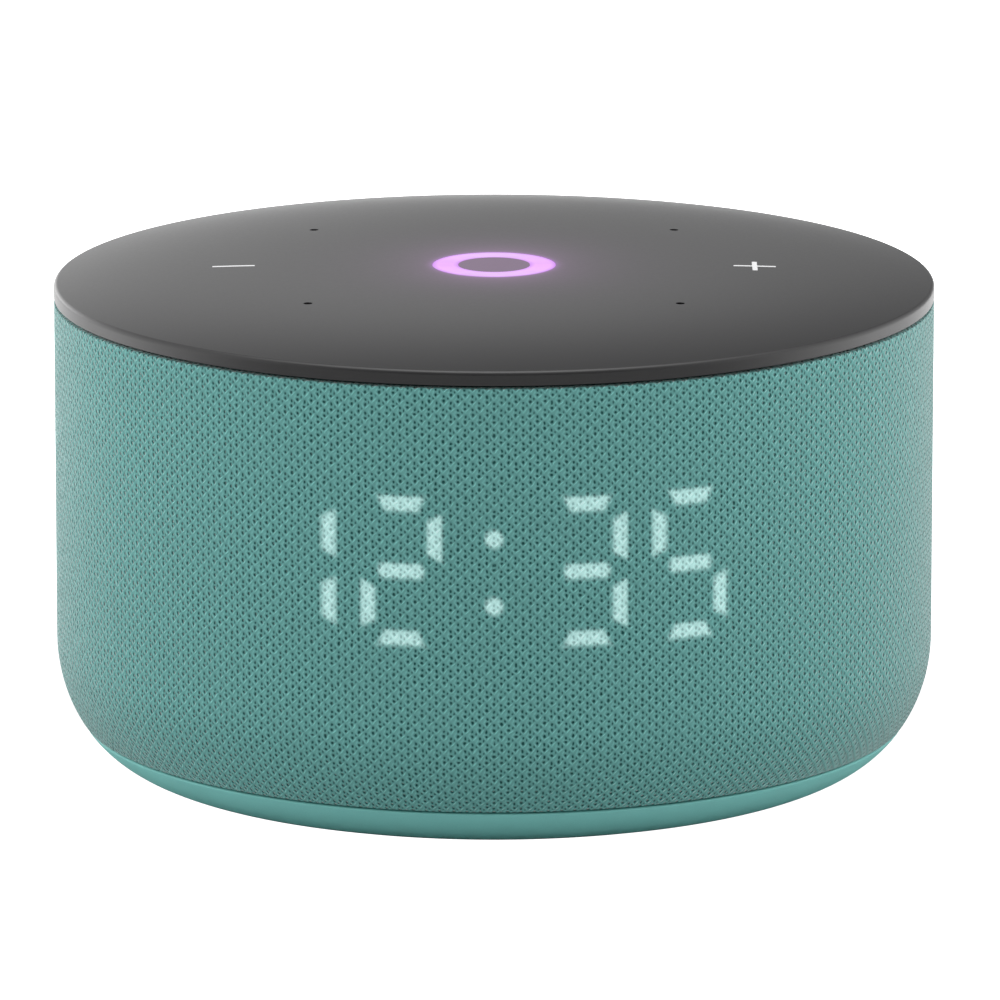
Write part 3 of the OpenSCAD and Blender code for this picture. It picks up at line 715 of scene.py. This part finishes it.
black_rubber = surface("rubber_black", (0.012, 0.012, 0.012), (0.024, 0.024, 0.024), 3000, 0.72,
                       depth=0.01 * MM)
spider_cloth = surface("spider_weave", (0.34, 0.22, 0.07), (0.52, 0.36, 0.13), 2600, 0.82, depth=0.04 * MM)
rubber_foot = surface("foot_rubber", (0.030, 0.070, 0.068), (0.045, 0.095, 0.092), 2600, 0.75,
                      depth=0.012 * MM)


# ---- Knitted sleeve ----


def side_radius(height):
    """Radius of the body's side at a height."""
    drop = max(0.0, (CORNER_H - height) / CORNER_H)
    return BODY_R - CORNER_W + CORNER_W * math.sqrt(1 - drop * drop)


def side_points(top, bottom, steps=400):
    """Points (radius, height) down the body's side."""
    heights = np.linspace(top, bottom, steps)
    return [(side_radius(z), z) for z in heights]


def even_rows(path, step):
    """The path's points a step apart, and the outward normal at each."""
    path = np.array(path)
    along = np.concatenate([[0], np.cumsum(np.linalg.norm(np.diff(path, axis=0), axis=1))])
    count = int(along[-1] / step)
    at = np.arange(count + 1) * along[-1] / count
    rows = np.stack([np.interp(at, along, path[:, i]) for i in (0, 1)], 1)
    slope = np.gradient(rows, axis=0)
    normals = np.stack([-slope[:, 1], slope[:, 0]], 1)
    return rows, normals / np.linalg.norm(normals, axis=1)[:, None]


def sleeve_path():
    """Side of the sleeve from its turned-in top edge to its turned-in bottom edge."""
    bend, turned_in, lift = 0.22 * MM, 1.1 * MM, 0.25 * MM
    seam_r = side_radius(SEAM_Z)
    side = side_points(SLEEVE_TOP - 4 * bend, SEAM_Z + 2 * bend)
    top = rounded([(BODY_R - turned_in, SLEEVE_TOP), (BODY_R, SLEEVE_TOP, bend), side[0]], steps=12)
    low_corners = [side[-1], (seam_r, SEAM_Z, bend * 0.8), (seam_r - turned_in, SEAM_Z + lift)]
    return [*top[:-1], *side, *rounded(low_corners, steps=12)[2:]]


def bar_light(along, across, outward):
    """Light of one bar of a digit, from 0 to 1.

    Its long edge is on the outward side, which is 1 or -1, or in the middle if outward is 0.
    """
    lean = np.abs(across) if outward == 0 else BAR_W / 2 - across * outward
    half = BAR_LEN / 2 - BAR_TAPER * lean / BAR_W
    inside = np.minimum(BAR_W / 2 - np.abs(across), (half - np.abs(along)) * 0.85)
    return soft(inside)


def soft(inside):
    """Smooth step over the soft edge, from a distance that is positive inside."""
    t = np.clip(inside / SOFT_EDGE + 0.5, 0, 1)
    return t * t * (3 - 2 * t)


def clock_light(angle, height):
    """Light of the clock behind the sleeve at an angle from the front and a height."""
    light = np.zeros_like(angle)
    for digit, cell in zip(CLOCK, DIGIT_ANGLES):
        for name in LIT_BARS[digit]:
            if name in ("top", "middle", "bottom"):
                side = {"top": 1, "middle": 0, "bottom": -1}[name]
                along = (angle - cell) * BODY_R
                across = height - DIGIT_Z - side * BAR_STEP
            else:
                side = 1 if name.endswith("right") else -1
                level = 0.5 if name.startswith("upper") else -0.5
                along = height - DIGIT_Z - level * BAR_STEP
                across = (angle - cell - side * BAR_SIDE) * BODY_R
            light = np.maximum(light, bar_light(along, across, side))
    for level in (-0.5, 0.5):
        away = np.hypot(angle * BODY_R, height - DIGIT_Z - level * BAR_STEP)
        light = np.maximum(light, soft(DOT_R - away))
    return light


def sleeve_points(index, u):
    """Points of the sleeve on its vertex row index, at columns u, with the knit's relief."""
    lift = (knit_height(u, index / 2) - 1.0) * RELIEF
    radius = sleeve_rows[index, 0] + sleeve_normals[index, 0] * lift
    height = sleeve_rows[index, 1] + sleeve_normals[index, 1] * lift
    angle = u * TAU / COLUMNS
    return np.stack([radius * np.sin(angle), -radius * np.cos(angle), height], 1)


def knit_band(name, first, last, window=False):
    """The sleeve between two vertex rows, two vertices to a stitch each way."""
    across = 2 * COLUMNS
    u = np.arange(across) / 2
    index = np.arange(first, last + 1)
    points = np.stack([sleeve_points(i, u) for i in index]).reshape(-1, 3)
    faces, corners = [], []
    for j in range(len(index) - 1):
        middle_z = (sleeve_rows[index[j], 1] + sleeve_rows[index[j] + 1, 1]) / 2
        for i in range(across):
            if window and in_window((i + 0.5) / 2, middle_z):
                continue
            k = (i + 1) % across
            faces.append((j * across + i, (j + 1) * across + i, (j + 1) * across + k, j * across + k))
            top, low = index[j] / 2, index[j + 1] / 2
            corners += [i / 2, -top, i / 2, -low, (i + 1) / 2, -low, (i + 1) / 2, -top]
    mesh = bpy.data.meshes.new(name)
    mesh.from_pydata(points, [], faces)
    mesh.uv_layers.new(name="knit").data.foreach_set("uv", np.array(corners, np.float32))
    light = clock_light(np.arctan2(points[:, 0], -points[:, 1]), points[:, 2])
    mesh.attributes.new("lit", "FLOAT", "POINT").data.foreach_set("value", light.astype(np.float32))
    loose = bmesh.new()
    loose.from_mesh(mesh)
    bmesh.ops.delete(loose, geom=[v for v in loose.verts if not v.link_faces], context="VERTS")
    loose.to_mesh(mesh)
    loose.free()
    mesh.shade_smooth()
    return mesh


def in_window(column, height):
    """True where the sleeve is cut out round the rear port plate."""
    angle = column * TAU / COLUMNS
    gap = 0.15 * MM
    behind = math.cos(angle) < 0 and abs(math.sin(angle)) * BODY_R < plate_high.x + gap
    return behind and plate_low.z - gap < height < plate_high.z + gap


sleeve_rows, sleeve_normals = even_rows(sleeve_path(), ROW / 2)
first_side_row = 3
last_row = len(sleeve_rows) - 1
last_side_row = last_row - first_side_row
sleeve_mesh = knit_band("knitted_sleeve", first_side_row, last_side_row, window=True)
sleeve = add_object("knitted_sleeve", sleeve_mesh, knit, replaces=["fabric_sleeve"])
hem_spans = {"sleeve_top_hem": (0, first_side_row), "sleeve_bottom_hem": (last_side_row, last_row)}
hems = [add_object(name, knit_band(name, *span), knit)
        for name, span in hem_spans.items()]


# ---- Touch panel ----


def crown_z(radius):
    """Height of the panel's face."""
    return RIM_Z + CROWN_H * (1 - (radius / BODY_R) ** CROWN_POWER)


def crown_normal(point):
    """Normal of the crown at a point, straight from its formula."""
    radius = max(math.hypot(point.x, point.y), 1e-9)
    slope = CROWN_H * CROWN_POWER / BODY_R * (radius / BODY_R) ** (CROWN_POWER - 1)
    return Vector((slope * point.x / radius, slope * point.y / radius, 1)).normalized()


def crown_profile(start, end, drop=0.0, steps=44):
    """Points (radius, height) along the crown, or a drop below it."""
    return [(r, crown_z(r) - drop) for r in np.linspace(start, end, steps)]


def panel_profile():
    """Half of the panel's section: the crown, the rounded rim, the snap-in skirt and the underside."""
    skirt_z = panel_low.z
    crown_end = BODY_R - 3 * MM
    rim_top = crown_z(BODY_R - PANEL_EDGE) - 0.02 * MM
    rim = rounded([(crown_end, crown_z(crown_end)), (BODY_R, rim_top, PANEL_EDGE),
                   (BODY_R, PANEL_Z, 0.12 * MM), (BODY_R - 1.2 * MM, PANEL_Z)], steps=8)
    skirt = [(SKIRT_R, PANEL_Z), (SKIRT_R, skirt_z), (SKIRT_IN_R, skirt_z),
             (SKIRT_IN_R, crown_z(SKIRT_IN_R) - PANEL_T)]
    under = crown_profile(0, SKIRT_IN_R - MM, PANEL_T, 12)
    return [*crown_profile(0, crown_end)[:-1], *rim, *skirt, *reversed(under)]


def panel_mesh():
    """The panel with the holes for the lens, the marks and the microphones."""
    floor = crown_z(0) - LENS_T
    top = PANEL_TOP + MM
    fit = 0.015 * MM
    ring_in, ring_out = RING_IN_R - fit, RING_R + fit
    groove = [(ring_in, floor), (ring_out, floor), (ring_out, top), (ring_in, top)]
    tools = [lathe_mesh("ring_cut", groove, FEW_SEGMENTS)]
    for turn in range(MIC_COUNT):
        spot = Matrix.Rotation(TAU * (turn + 0.5) / MIC_COUNT, 2) @ Vector((MIC_AT_R, 0))
        tools.append(rod_mesh("mic_cut", spot, MIC_R, PANEL_Z - MM, top))
    tools += icon_bars(False, floor, top, fit) + icon_bars(True, floor, top, fit)
    cut_mesh = cut(lathe_mesh("touch_panel_shell", panel_profile()), tools)
    clean(cut_mesh, 2e-6)
    smooth(cut_mesh, 30)
    polish_crown(cut_mesh)
    return cut_mesh


def icon_bars(plus, low, high, fit=0.0):
    """The one bar of the minus or the two of the plus, as boxes."""
    x = -ICON_X if plus else ICON_X
    half_len, half_bar = ICON_LEN / 2 + fit, ICON_BAR / 2 + fit
    halves = [(half_len, half_bar), (half_bar, half_len)][:2 if plus else 1]
    return [box_mesh("icon_bar", (x - wide, -deep, low), (x + wide, deep, high)) for wide, deep in halves]


def icon_mesh(name, plus):
    """Inlaid mark, flush with the crown."""
    low = crown_z(0) - LENS_T
    past_marks = 36 * MM
    crown = lathe_mesh("crown_solid", [*crown_profile(0, past_marks), (past_marks, low), (0, low)])
    bars = icon_bars(plus, low - MM, PANEL_TOP + MM)
    mesh = combine(bars[0], [*(("UNION", bar) for bar in bars[1:]), ("INTERSECT", crown)])
    mesh.name = name
    smooth(mesh, 30)
    return mesh


def polish_crown(mesh):
    """Gives the faces of the crown the formula's normals, so that the holes leave no mark in the shading."""
    crown_end, near = BODY_R - 0.6 * MM, 0.1 * MM
    normals = [corner.vector.copy() for corner in mesh.corner_normals]
    for face in mesh.polygons:
        centre = math.hypot(face.center.x, face.center.y)
        if face.normal.z > 0.9 and centre < crown_end and face.center.z > crown_z(centre) - near:
            for corner in face.loop_indices:
                normals[corner] = crown_normal(mesh.vertices[mesh.loops[corner].vertex_index].co)
    mesh.normals_split_custom_set(normals)


def lens_mesh():
    """Ring of the lens, flush with the crown, with a slight edge."""
    top, edge = crown_z(0), 0.05 * MM
    low = top - LENS_T
    corners = [(RING_IN_R, low), (RING_R, low), (RING_R, top, edge), (RING_IN_R, top, edge)]
    return lathe_mesh("status_ring", rounded(corners, steps=4, support=0.03 * MM), FEW_SEGMENTS)


add_object("touch_panel_shell", panel_mesh(), panel, replaces=["touch_panel"])
add_object("status_ring", lens_mesh(), ring, replaces=["status_ring_lens"])
add_object("volume_down_mark", icon_mesh("volume_down_mark", False), icon, replaces=["volume_down_icon"])
add_object("volume_up_mark", icon_mesh("volume_up_mark", True), icon, replaces=["volume_up_icon"])


# ---- Base ----


def tray_mesh():
    """Moulded base: rounded shell, channel for the foot ring, and an inner floor."""
    wall, edge, lip_edge = 2.4 * MM, 0.1 * MM, 0.2 * MM
    low, floor_z, top = tray_low.z, tray_low.z + 2 * MM, SEAM_Z - 0.15 * MM
    channel_in, channel_out = 33 * MM, foot_high.x + 0.05 * MM
    outer = [(side_radius(z), z) for z in np.linspace(low, top - 0.35 * MM, 28)]
    lip = rounded([outer[-1], (side_radius(top), top, lip_edge), (side_radius(top) - wall, top)])
    under = rounded([(0, low), (channel_in, low, edge), (channel_in, foot_high.z),
                     (channel_out, foot_high.z), (channel_out, low, edge), outer[0]], steps=4)
    inside = [(side_radius(floor_z) - wall, floor_z), (0, floor_z)]
    return lathe_mesh("base_shell", [*under[:-1], *outer[:-1], *lip, *inside])


def foot_mesh():
    """Rubber ring with three fine grooves in its sole."""
    inner, outer, top, edge = foot_high.x - 6.1 * MM, foot_high.x, foot_high.z, 0.3 * MM
    grooves, groove_half, depth, groove_edge = 3, 0.25 * MM, 0.25 * MM, 0.08 * MM
    sole = []
    for k in range(grooves):
        middle = inner + (outer - inner) * (k + 1) / (grooves + 1)
        near, far = middle - groove_half, middle + groove_half
        sole += [(near, 0, groove_edge), (near, depth), (far, depth), (far, 0, groove_edge)]
    corners = [(inner, top), (inner, 0, edge), *sole, (outer, 0, edge), (outer, top)]
    return lathe_mesh("rubber_foot", rounded(corners, steps=4, support=0.03 * MM))


add_object("base_shell", tray_mesh(), base, replaces=["base_tray"])
add_object("rubber_foot", foot_mesh(), rubber_foot, replaces=["foot_ring"])


# ---- Rear ports ----

# The ports stand in a row: mute slider, USB-C socket in the middle, audio jack
PORT_Z = plate_low.z + 6.2 * MM
PORT_X = 13 * MM
USB_Y = 45.8 * MM
USB_HALF = 2.84 * MM
USB_R = 1.63 * MM
JACK_Y = 46.8 * MM
JACK_R = 3 * MM
slider_low, slider_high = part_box("mute_slider")

# Depths that clear the plate behind it and in front of it
BEHIND_Y = 40 * MM
FAR_Y = 60 * MM


def port_area(x, half_wide, half_tall):
    """Rectangular outline round a port."""
    return rectangle(x - half_wide, x + half_wide, PORT_Z - half_tall, PORT_Z + half_tall)


def port_plate_mesh():
    """Curved plate with bosses behind it. The plug's slot and the slider's are each in a recess."""
    face_r = plate_high.y
    back_r = face_r - 2.1 * MM
    low, high = plate_low.z, plate_high.z
    band = lathe_mesh("port_plate_face", [(back_r, low), (face_r, low), (face_r, high), (back_r, high)])
    window = rectangle(plate_low.x, plate_high.x, low - MM, high + MM)
    steps = [("INTERSECT", prism_mesh("window", window, 30 * MM, FAR_Y))]
    bosses = ((port_area(0, 7.6 * MM, 4.4 * MM), USB_Y - 1.2 * MM),
              (port_area(-PORT_X, 4.2 * MM, 3 * MM), 44.3 * MM),
              (port_area(PORT_X, 4.2 * MM, 4.2 * MM), 44.9 * MM))
    for outline, near in bosses:
        front = rod_mesh("boss_front", (0, 0), face_r - 0.6 * MM, low - MM, high + MM, 256)
        boss = combine(prism_mesh("boss", outline, near, FAR_Y), [("INTERSECT", front)])
        steps.append(("UNION", boss))
    holes = ((pill(0, PORT_Z, 3.1 * MM, 3.4 * MM), USB_Y),
             (pill(0, PORT_Z, USB_HALF, USB_R + 0.1 * MM), BEHIND_Y),
             (pill(PORT_X, PORT_Z, 0, JACK_R + 0.2 * MM, 32), BEHIND_Y),
             (port_area(-PORT_X, 3.1 * MM, 1.9 * MM), 45.6 * MM),
             (port_area(-PORT_X, 2.25 * MM, 1.1 * MM), BEHIND_Y))
    steps += [("DIFFERENCE", prism_mesh("hole", outline, near, FAR_Y)) for outline, near in holes]
    return soften(combine(band, steps), 0.18 * MM, lambda p: math.hypot(p.x, p.y) > face_r - 0.2 * MM)


def usb_shell_mesh():
    """Drawn metal shell of the socket, closed at the back."""
    wall = 0.33 * MM
    outer = prism_mesh("usb_shell", pill(0, PORT_Z, USB_HALF, USB_R), USB_Y - 7.6 * MM, USB_Y)
    inner = prism_mesh("usb_cavity", pill(0, PORT_Z, USB_HALF, USB_R - wall), USB_Y - 6.2 * MM, USB_Y + MM)
    return soften(cut(outer, [inner]), 0.1 * MM, lambda p: p.y > USB_Y - MM)


def usb_tongue_mesh():
    half_wide, half_thick = 3.3 * MM, 0.35 * MM
    tongue = box_mesh("usb_tongue", (-half_wide, USB_Y - 6.8 * MM, PORT_Z - half_thick),
                      (half_wide, USB_Y - 0.8 * MM, PORT_Z + half_thick))
    return soften(tongue, 0.1 * MM)


def usb_contacts_mesh():
    """Two rows of plated contacts on the tongue's faces."""
    count, pitch, off_middle = 12, 0.5 * MM, 0.355 * MM
    size = Vector((0.26, 3.6, 0.05)) * MM
    bm = bmesh.new()
    for side in (-1, 1):
        for k in range(count):
            x = (k - (count - 1) / 2) * pitch
            middle = Vector((x, USB_Y - 3.2 * MM, PORT_Z + side * off_middle))
            for vert in bmesh.ops.create_cube(bm, size=1)["verts"]:
                vert.co = middle + vert.co * size
    return finished_mesh("usb_contacts", bm)


def jack_mesh():
    """Barrel of the audio jack with its body behind it and the bore through the face."""
    half_tall = 2.5 * MM
    barrel = prism_mesh("audio_jack_body", pill(PORT_X, PORT_Z, 0, JACK_R, 32), JACK_Y - 4 * MM, JACK_Y)
    body = box_mesh("jack_block", (PORT_X - JACK_R, JACK_Y - 14.6 * MM, PORT_Z - half_tall),
                    (PORT_X + JACK_R, JACK_Y - 3.4 * MM, PORT_Z + half_tall))
    bore = prism_mesh("jack_bore", pill(PORT_X, PORT_Z, 0, 1.8 * MM, 32), JACK_Y - 14 * MM, JACK_Y + MM)
    solid = combine(barrel, [("UNION", body), ("DIFFERENCE", bore)])
    return soften(solid, 0.25 * MM, lambda p: p.y > JACK_Y - MM)


def mute_slider_mesh():
    """Slider's stem and its ribbed cap."""
    cap_t, stem_x, stem_z = 1.15 * MM, 0.9 * MM, 0.8 * MM
    pitch, groove_half, groove_depth = 0.9 * MM, 0.2 * MM, 0.3 * MM
    middle = (slider_low.x + slider_high.x) / 2
    face = slider_high.y
    cap = box_mesh("mute_slider_cap", (slider_low.x, face - cap_t, slider_low.z), slider_high)
    stem = box_mesh("slider_stem", (middle - stem_x, slider_low.y, PORT_Z - stem_z),
                    (middle + stem_x, face - MM, PORT_Z + stem_z))
    steps = [("UNION", stem)]
    for x in (middle - pitch, middle, middle + pitch):
        groove = box_mesh("slider_groove", (x - groove_half, face - groove_depth, slider_low.z - MM),
                          (x + groove_half, face + MM, slider_high.z + MM))
        steps.append(("DIFFERENCE", groove))
    return soften(combine(cap, steps), 0.09 * MM, lambda p: p.y > face - 1.1 * MM)


add_object("port_plate_face", port_plate_mesh(), port, replaces=["rear_port_plate"])
add_object("usb_shell", usb_shell_mesh(), socket, replaces=["usb_c_socket"])
add_object("usb_tongue", usb_tongue_mesh(), jack)
add_object("usb_contacts", usb_contacts_mesh(), contact)
add_object("audio_jack_body", jack_mesh(), jack, replaces=["audio_jack"])
add_object("mute_slider_cap", mute_slider_mesh(), slider, body="mute_slider", replaces=["mute_slider"])


# ---- Pieces that stretch as the driver and the radiators move ----

RUBBER_T = 0.35 * MM
GLUE_GAP = 0.05 * MM


def add_stretch(name, mesh, material, moving, replaced, reach, power=None):
    """Adds a ring whose points follow the moving body where reach(point) is 1, and the housing at 0."""
    obj = new_object(name, mesh, material)
    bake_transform(obj, "housing", moving, start=(0, 0, 0), end=(0, 0, 1))
    share = np.clip([reach(vert.co) for vert in mesh.vertices], 0, 1)
    share = share ** power if power else share * share * (3 - 2 * share)
    mesh.attributes["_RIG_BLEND"].data.foreach_set("value", share.astype(np.float32))
    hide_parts(replaced)


def arc(centre, height, radius, start, end, steps=14):
    """Points (radius, height) of an arc between two angles in degrees."""
    angles = np.radians(np.linspace(start, end, steps + 1))
    return [(centre + radius * math.cos(a), height + radius * math.sin(a)) for a in angles]


def add_driver_surround():
    """Half-round rubber roll between the cone and the flange, which bulges down."""
    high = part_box("driver_surround")[1]
    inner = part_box("driver_cone")[1].x + GLUE_GAP
    middle, half = (high.x + inner) / 2, (high.x - inner) / 2
    profile = arc(middle, high.z, half, 180, 360) + arc(middle, high.z, half - RUBBER_T, 360, 180)
    mesh = lathe_mesh("driver_surround_roll", profile, FEW_SEGMENTS)
    add_stretch("driver_surround_roll", mesh, black_rubber, "driver_cone_assembly", "driver_surround",
                lambda p: (high.x - math.hypot(p.x, p.y)) / (high.x - inner))


def add_driver_spider():
    """Corrugated cloth ring between the voice coil's former and the basket."""
    low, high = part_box("driver_spider")
    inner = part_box("voice_coil_former")[1].x + GLUE_GAP
    span = high.x - inner
    waves, half = 3, 0.15 * MM
    rise = (high.z - low.z) / 2 - half
    along = np.linspace(0, 1, 49)
    radii = inner + span * along
    heights = (low.z + high.z) / 2 + rise * np.cos(along * waves * TAU)
    profile = [*zip(radii, heights - half), *zip(radii[::-1], heights[::-1] + half)]
    mesh = lathe_mesh("driver_spider_cloth", profile, FEW_SEGMENTS)
    add_stretch("driver_spider_cloth", mesh, spider_cloth, "driver_cone_assembly", "driver_spider",
                lambda p: (high.x - math.hypot(p.x, p.y)) / span, power=2.5)


def racetrack_mesh(name, profile, side, half_len, middle_z, steps=32):
    """Ring that stands across X, with its (distance out, x) profile swept round a racetrack along Y."""
    turns = [(k / steps * math.pi - math.pi / 2, half_len) for k in range(steps + 1)]
    turns += [(a + math.pi, -centre) for a, centre in turns]
    count, rows = len(turns), len(profile)
    points = [(side * x, centre + out * math.cos(a), middle_z + out * math.sin(a))
              for out, x in profile for a, centre in turns]
    faces = [(j * count + k, j * count + (k + 1) % count, (j + 1) % rows * count + (k + 1) % count,
              (j + 1) % rows * count + k) for j in range(rows) for k in range(count)]
    mesh = solid_mesh(name, points, faces)
    smooth(mesh)
    return mesh


def add_radiator_surround(word, side):
    """Rubber roll round a passive radiator's plate, which bulges outwards."""
    node = "radiator_surround_" + word
    low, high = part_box(node)
    near = min(abs(low.x), abs(high.x))
    half_len = 6 * MM
    outer = (high.z - low.z) / 2
    inner = outer - 2.9 * MM
    middle, middle_z = (inner + outer) / 2, (low.z + high.z) / 2
    face, roll = near + RUBBER_T, 0.95 * MM
    hollow = roll - RUBBER_T
    profile = [(inner, near), (inner, face), *arc(middle, face, roll, 180, 0), (outer, face), (outer, near),
               (middle + hollow, near), *arc(middle, face, hollow, 0, 180), (middle - hollow, near)]

    def reach(point):
        """1 at the plate's edge and 0 at the frame's."""
        out = math.hypot(max(0.0, abs(point.y) - half_len), point.z - middle_z)
        return (outer - out) / (outer - inner)

    mesh = racetrack_mesh(node + "_roll", profile, side, half_len, middle_z)
    add_stretch(node + "_roll", mesh, black_rubber, "radiator_" + word, node, reach)


add_driver_surround()
add_driver_spider()
add_radiator_surround("left", -1)
add_radiator_surround("right", 1)


# ---- Finishes of the CAD nodes ----

finishes = slot_materials()
for part in frame["record"]["subparts"]:
    node = frame["nodes"][part["node"]]
    node.data.materials.clear()
    node.data.materials.append(finishes[part["material_slot"]])


# ---- Studio ----

FLOOR_R = 3.0

# Camera: where it stands from what it looks at, and its lens and shift
VIEW_ELEVATION = math.radians(12.95)
VIEW_DISTANCE = 24 * BODY_R
LOOK_AT = Vector((0, 0, 27.1 * MM))
FOCAL_LENGTH = 378.36
SENSOR_W = 36
SHIFT_X, SHIFT_Y = 0.0059, 0.0172

# Strengths of the studio's lights, and how tightly each gathers in its direction
SIDE_LIGHT, SIDE_POWER = 1.55, 1.25
WINDOW_LIGHT, WINDOW_POWER = 2.5, 13.0
TOP_LIGHT, TOP_POWER = 3.6, 8.0
ROOM_LIGHT = 0.15


def back_glow(tree):
    """Strength of the floor's glow, which lies behind the body and near its sides but not in front of it."""
    beside = axis_value(tree, "X").math("ABSOLUTE") * MM
    behind = axis_value(tree, "Y") * MM
    near_side = remap(beside - behind.math("ABSOLUTE"), 0.10, 0.16) * remap(beside, 0.40, 0.32)
    return remap(beside * 0.5 + behind, 0.05, 0.19) + near_side * 0.9


def add_floor(name, tone, glows_behind):
    """White or grey disc that glows all over, or only behind the body and beside it."""
    bm = bmesh.new()
    bmesh.ops.create_circle(bm, cap_ends=True, segments=128, radius=FLOOR_R)
    material, tree, shader = new_material(name)
    cloud = noise(coordinates(tree), 3.0)
    glow = back_glow(tree) if glows_behind else 1.0
    set_shader(
        shader, Base_Color=blend_colours(cloud, (tone,) * 3, (tone + 0.03,) * 3),
        Roughness=0.9, Specular_IOR_Level=0.1, Emission_Color=WHITE, Emission_Strength=glow,
    )
    floor = new_object(name, finished_mesh(name, bm), material)
    return floor


def add_floors():
    """White floor that only the camera sees, and a duller one that only bounces light and takes shadow."""
    seen = add_floor("floor", 0.90, False)
    seen.visible_diffuse = seen.visible_glossy = seen.visible_shadow = False
    bounce = add_floor("floor_bounce", 0.52, True)
    bounce.visible_camera = False


def positive(x):
    return x.math("MAXIMUM", 0.0)


def add_world():
    """White behind the object, and a soft studio round it that is brightest at its sides and dim in front."""
    world = bpy.data.worlds.new("studio")
    bpy.context.scene.world = world
    world.use_nodes = True
    tree = world.node_tree
    light = tree.nodes["Background"]
    seen = tree.nodes.new("ShaderNodeBackground")
    for background in (light, seen):
        background.inputs["Color"].default_value = WHITE
    x, y, z = axes(tree.nodes.new("ShaderNodeTexCoord").outputs["Generated"])
    sides = (x * x) ** SIDE_POWER * (1 + y * 0.6)
    window = positive(y * 0.893 - x * 0.45) ** WINDOW_POWER
    top = positive(z) ** TOP_POWER
    strength = sides * SIDE_LIGHT + window * WINDOW_LIGHT + top * TOP_LIGHT + ROOM_LIGHT
    feed(strength, light.inputs["Strength"])
    choose = tree.nodes.new("ShaderNodeMixShader")
    path = tree.nodes.new("ShaderNodeLightPath")
    sources = (path.outputs["Is Camera Ray"], light.outputs[0], seen.outputs[0])
    for source, target in zip(sources, choose.inputs):
        feed(source, target)
    feed(choose.outputs[0], tree.nodes["World Output"].inputs["Surface"])


def add_camera():
    """Camera in front of the body and above it, level with the horizon from side to side."""
    data = bpy.data.cameras.new("camera")
    data.lens = FOCAL_LENGTH
    data.sensor_width = SENSOR_W
    data.shift_x = SHIFT_X
    data.shift_y = SHIFT_Y
    camera = new_object("camera", data)
    back = Vector((0, -math.cos(VIEW_ELEVATION), math.sin(VIEW_ELEVATION)))
    camera.location = LOOK_AT + back * VIEW_DISTANCE
    camera.rotation_mode = "QUATERNION"
    camera.rotation_quaternion = (-back).to_track_quat("-Z", "Y")
    bpy.context.scene.camera = camera


add_floors()
add_world()
add_camera()
bpy.context.scene.view_settings.view_transform = "Standard"
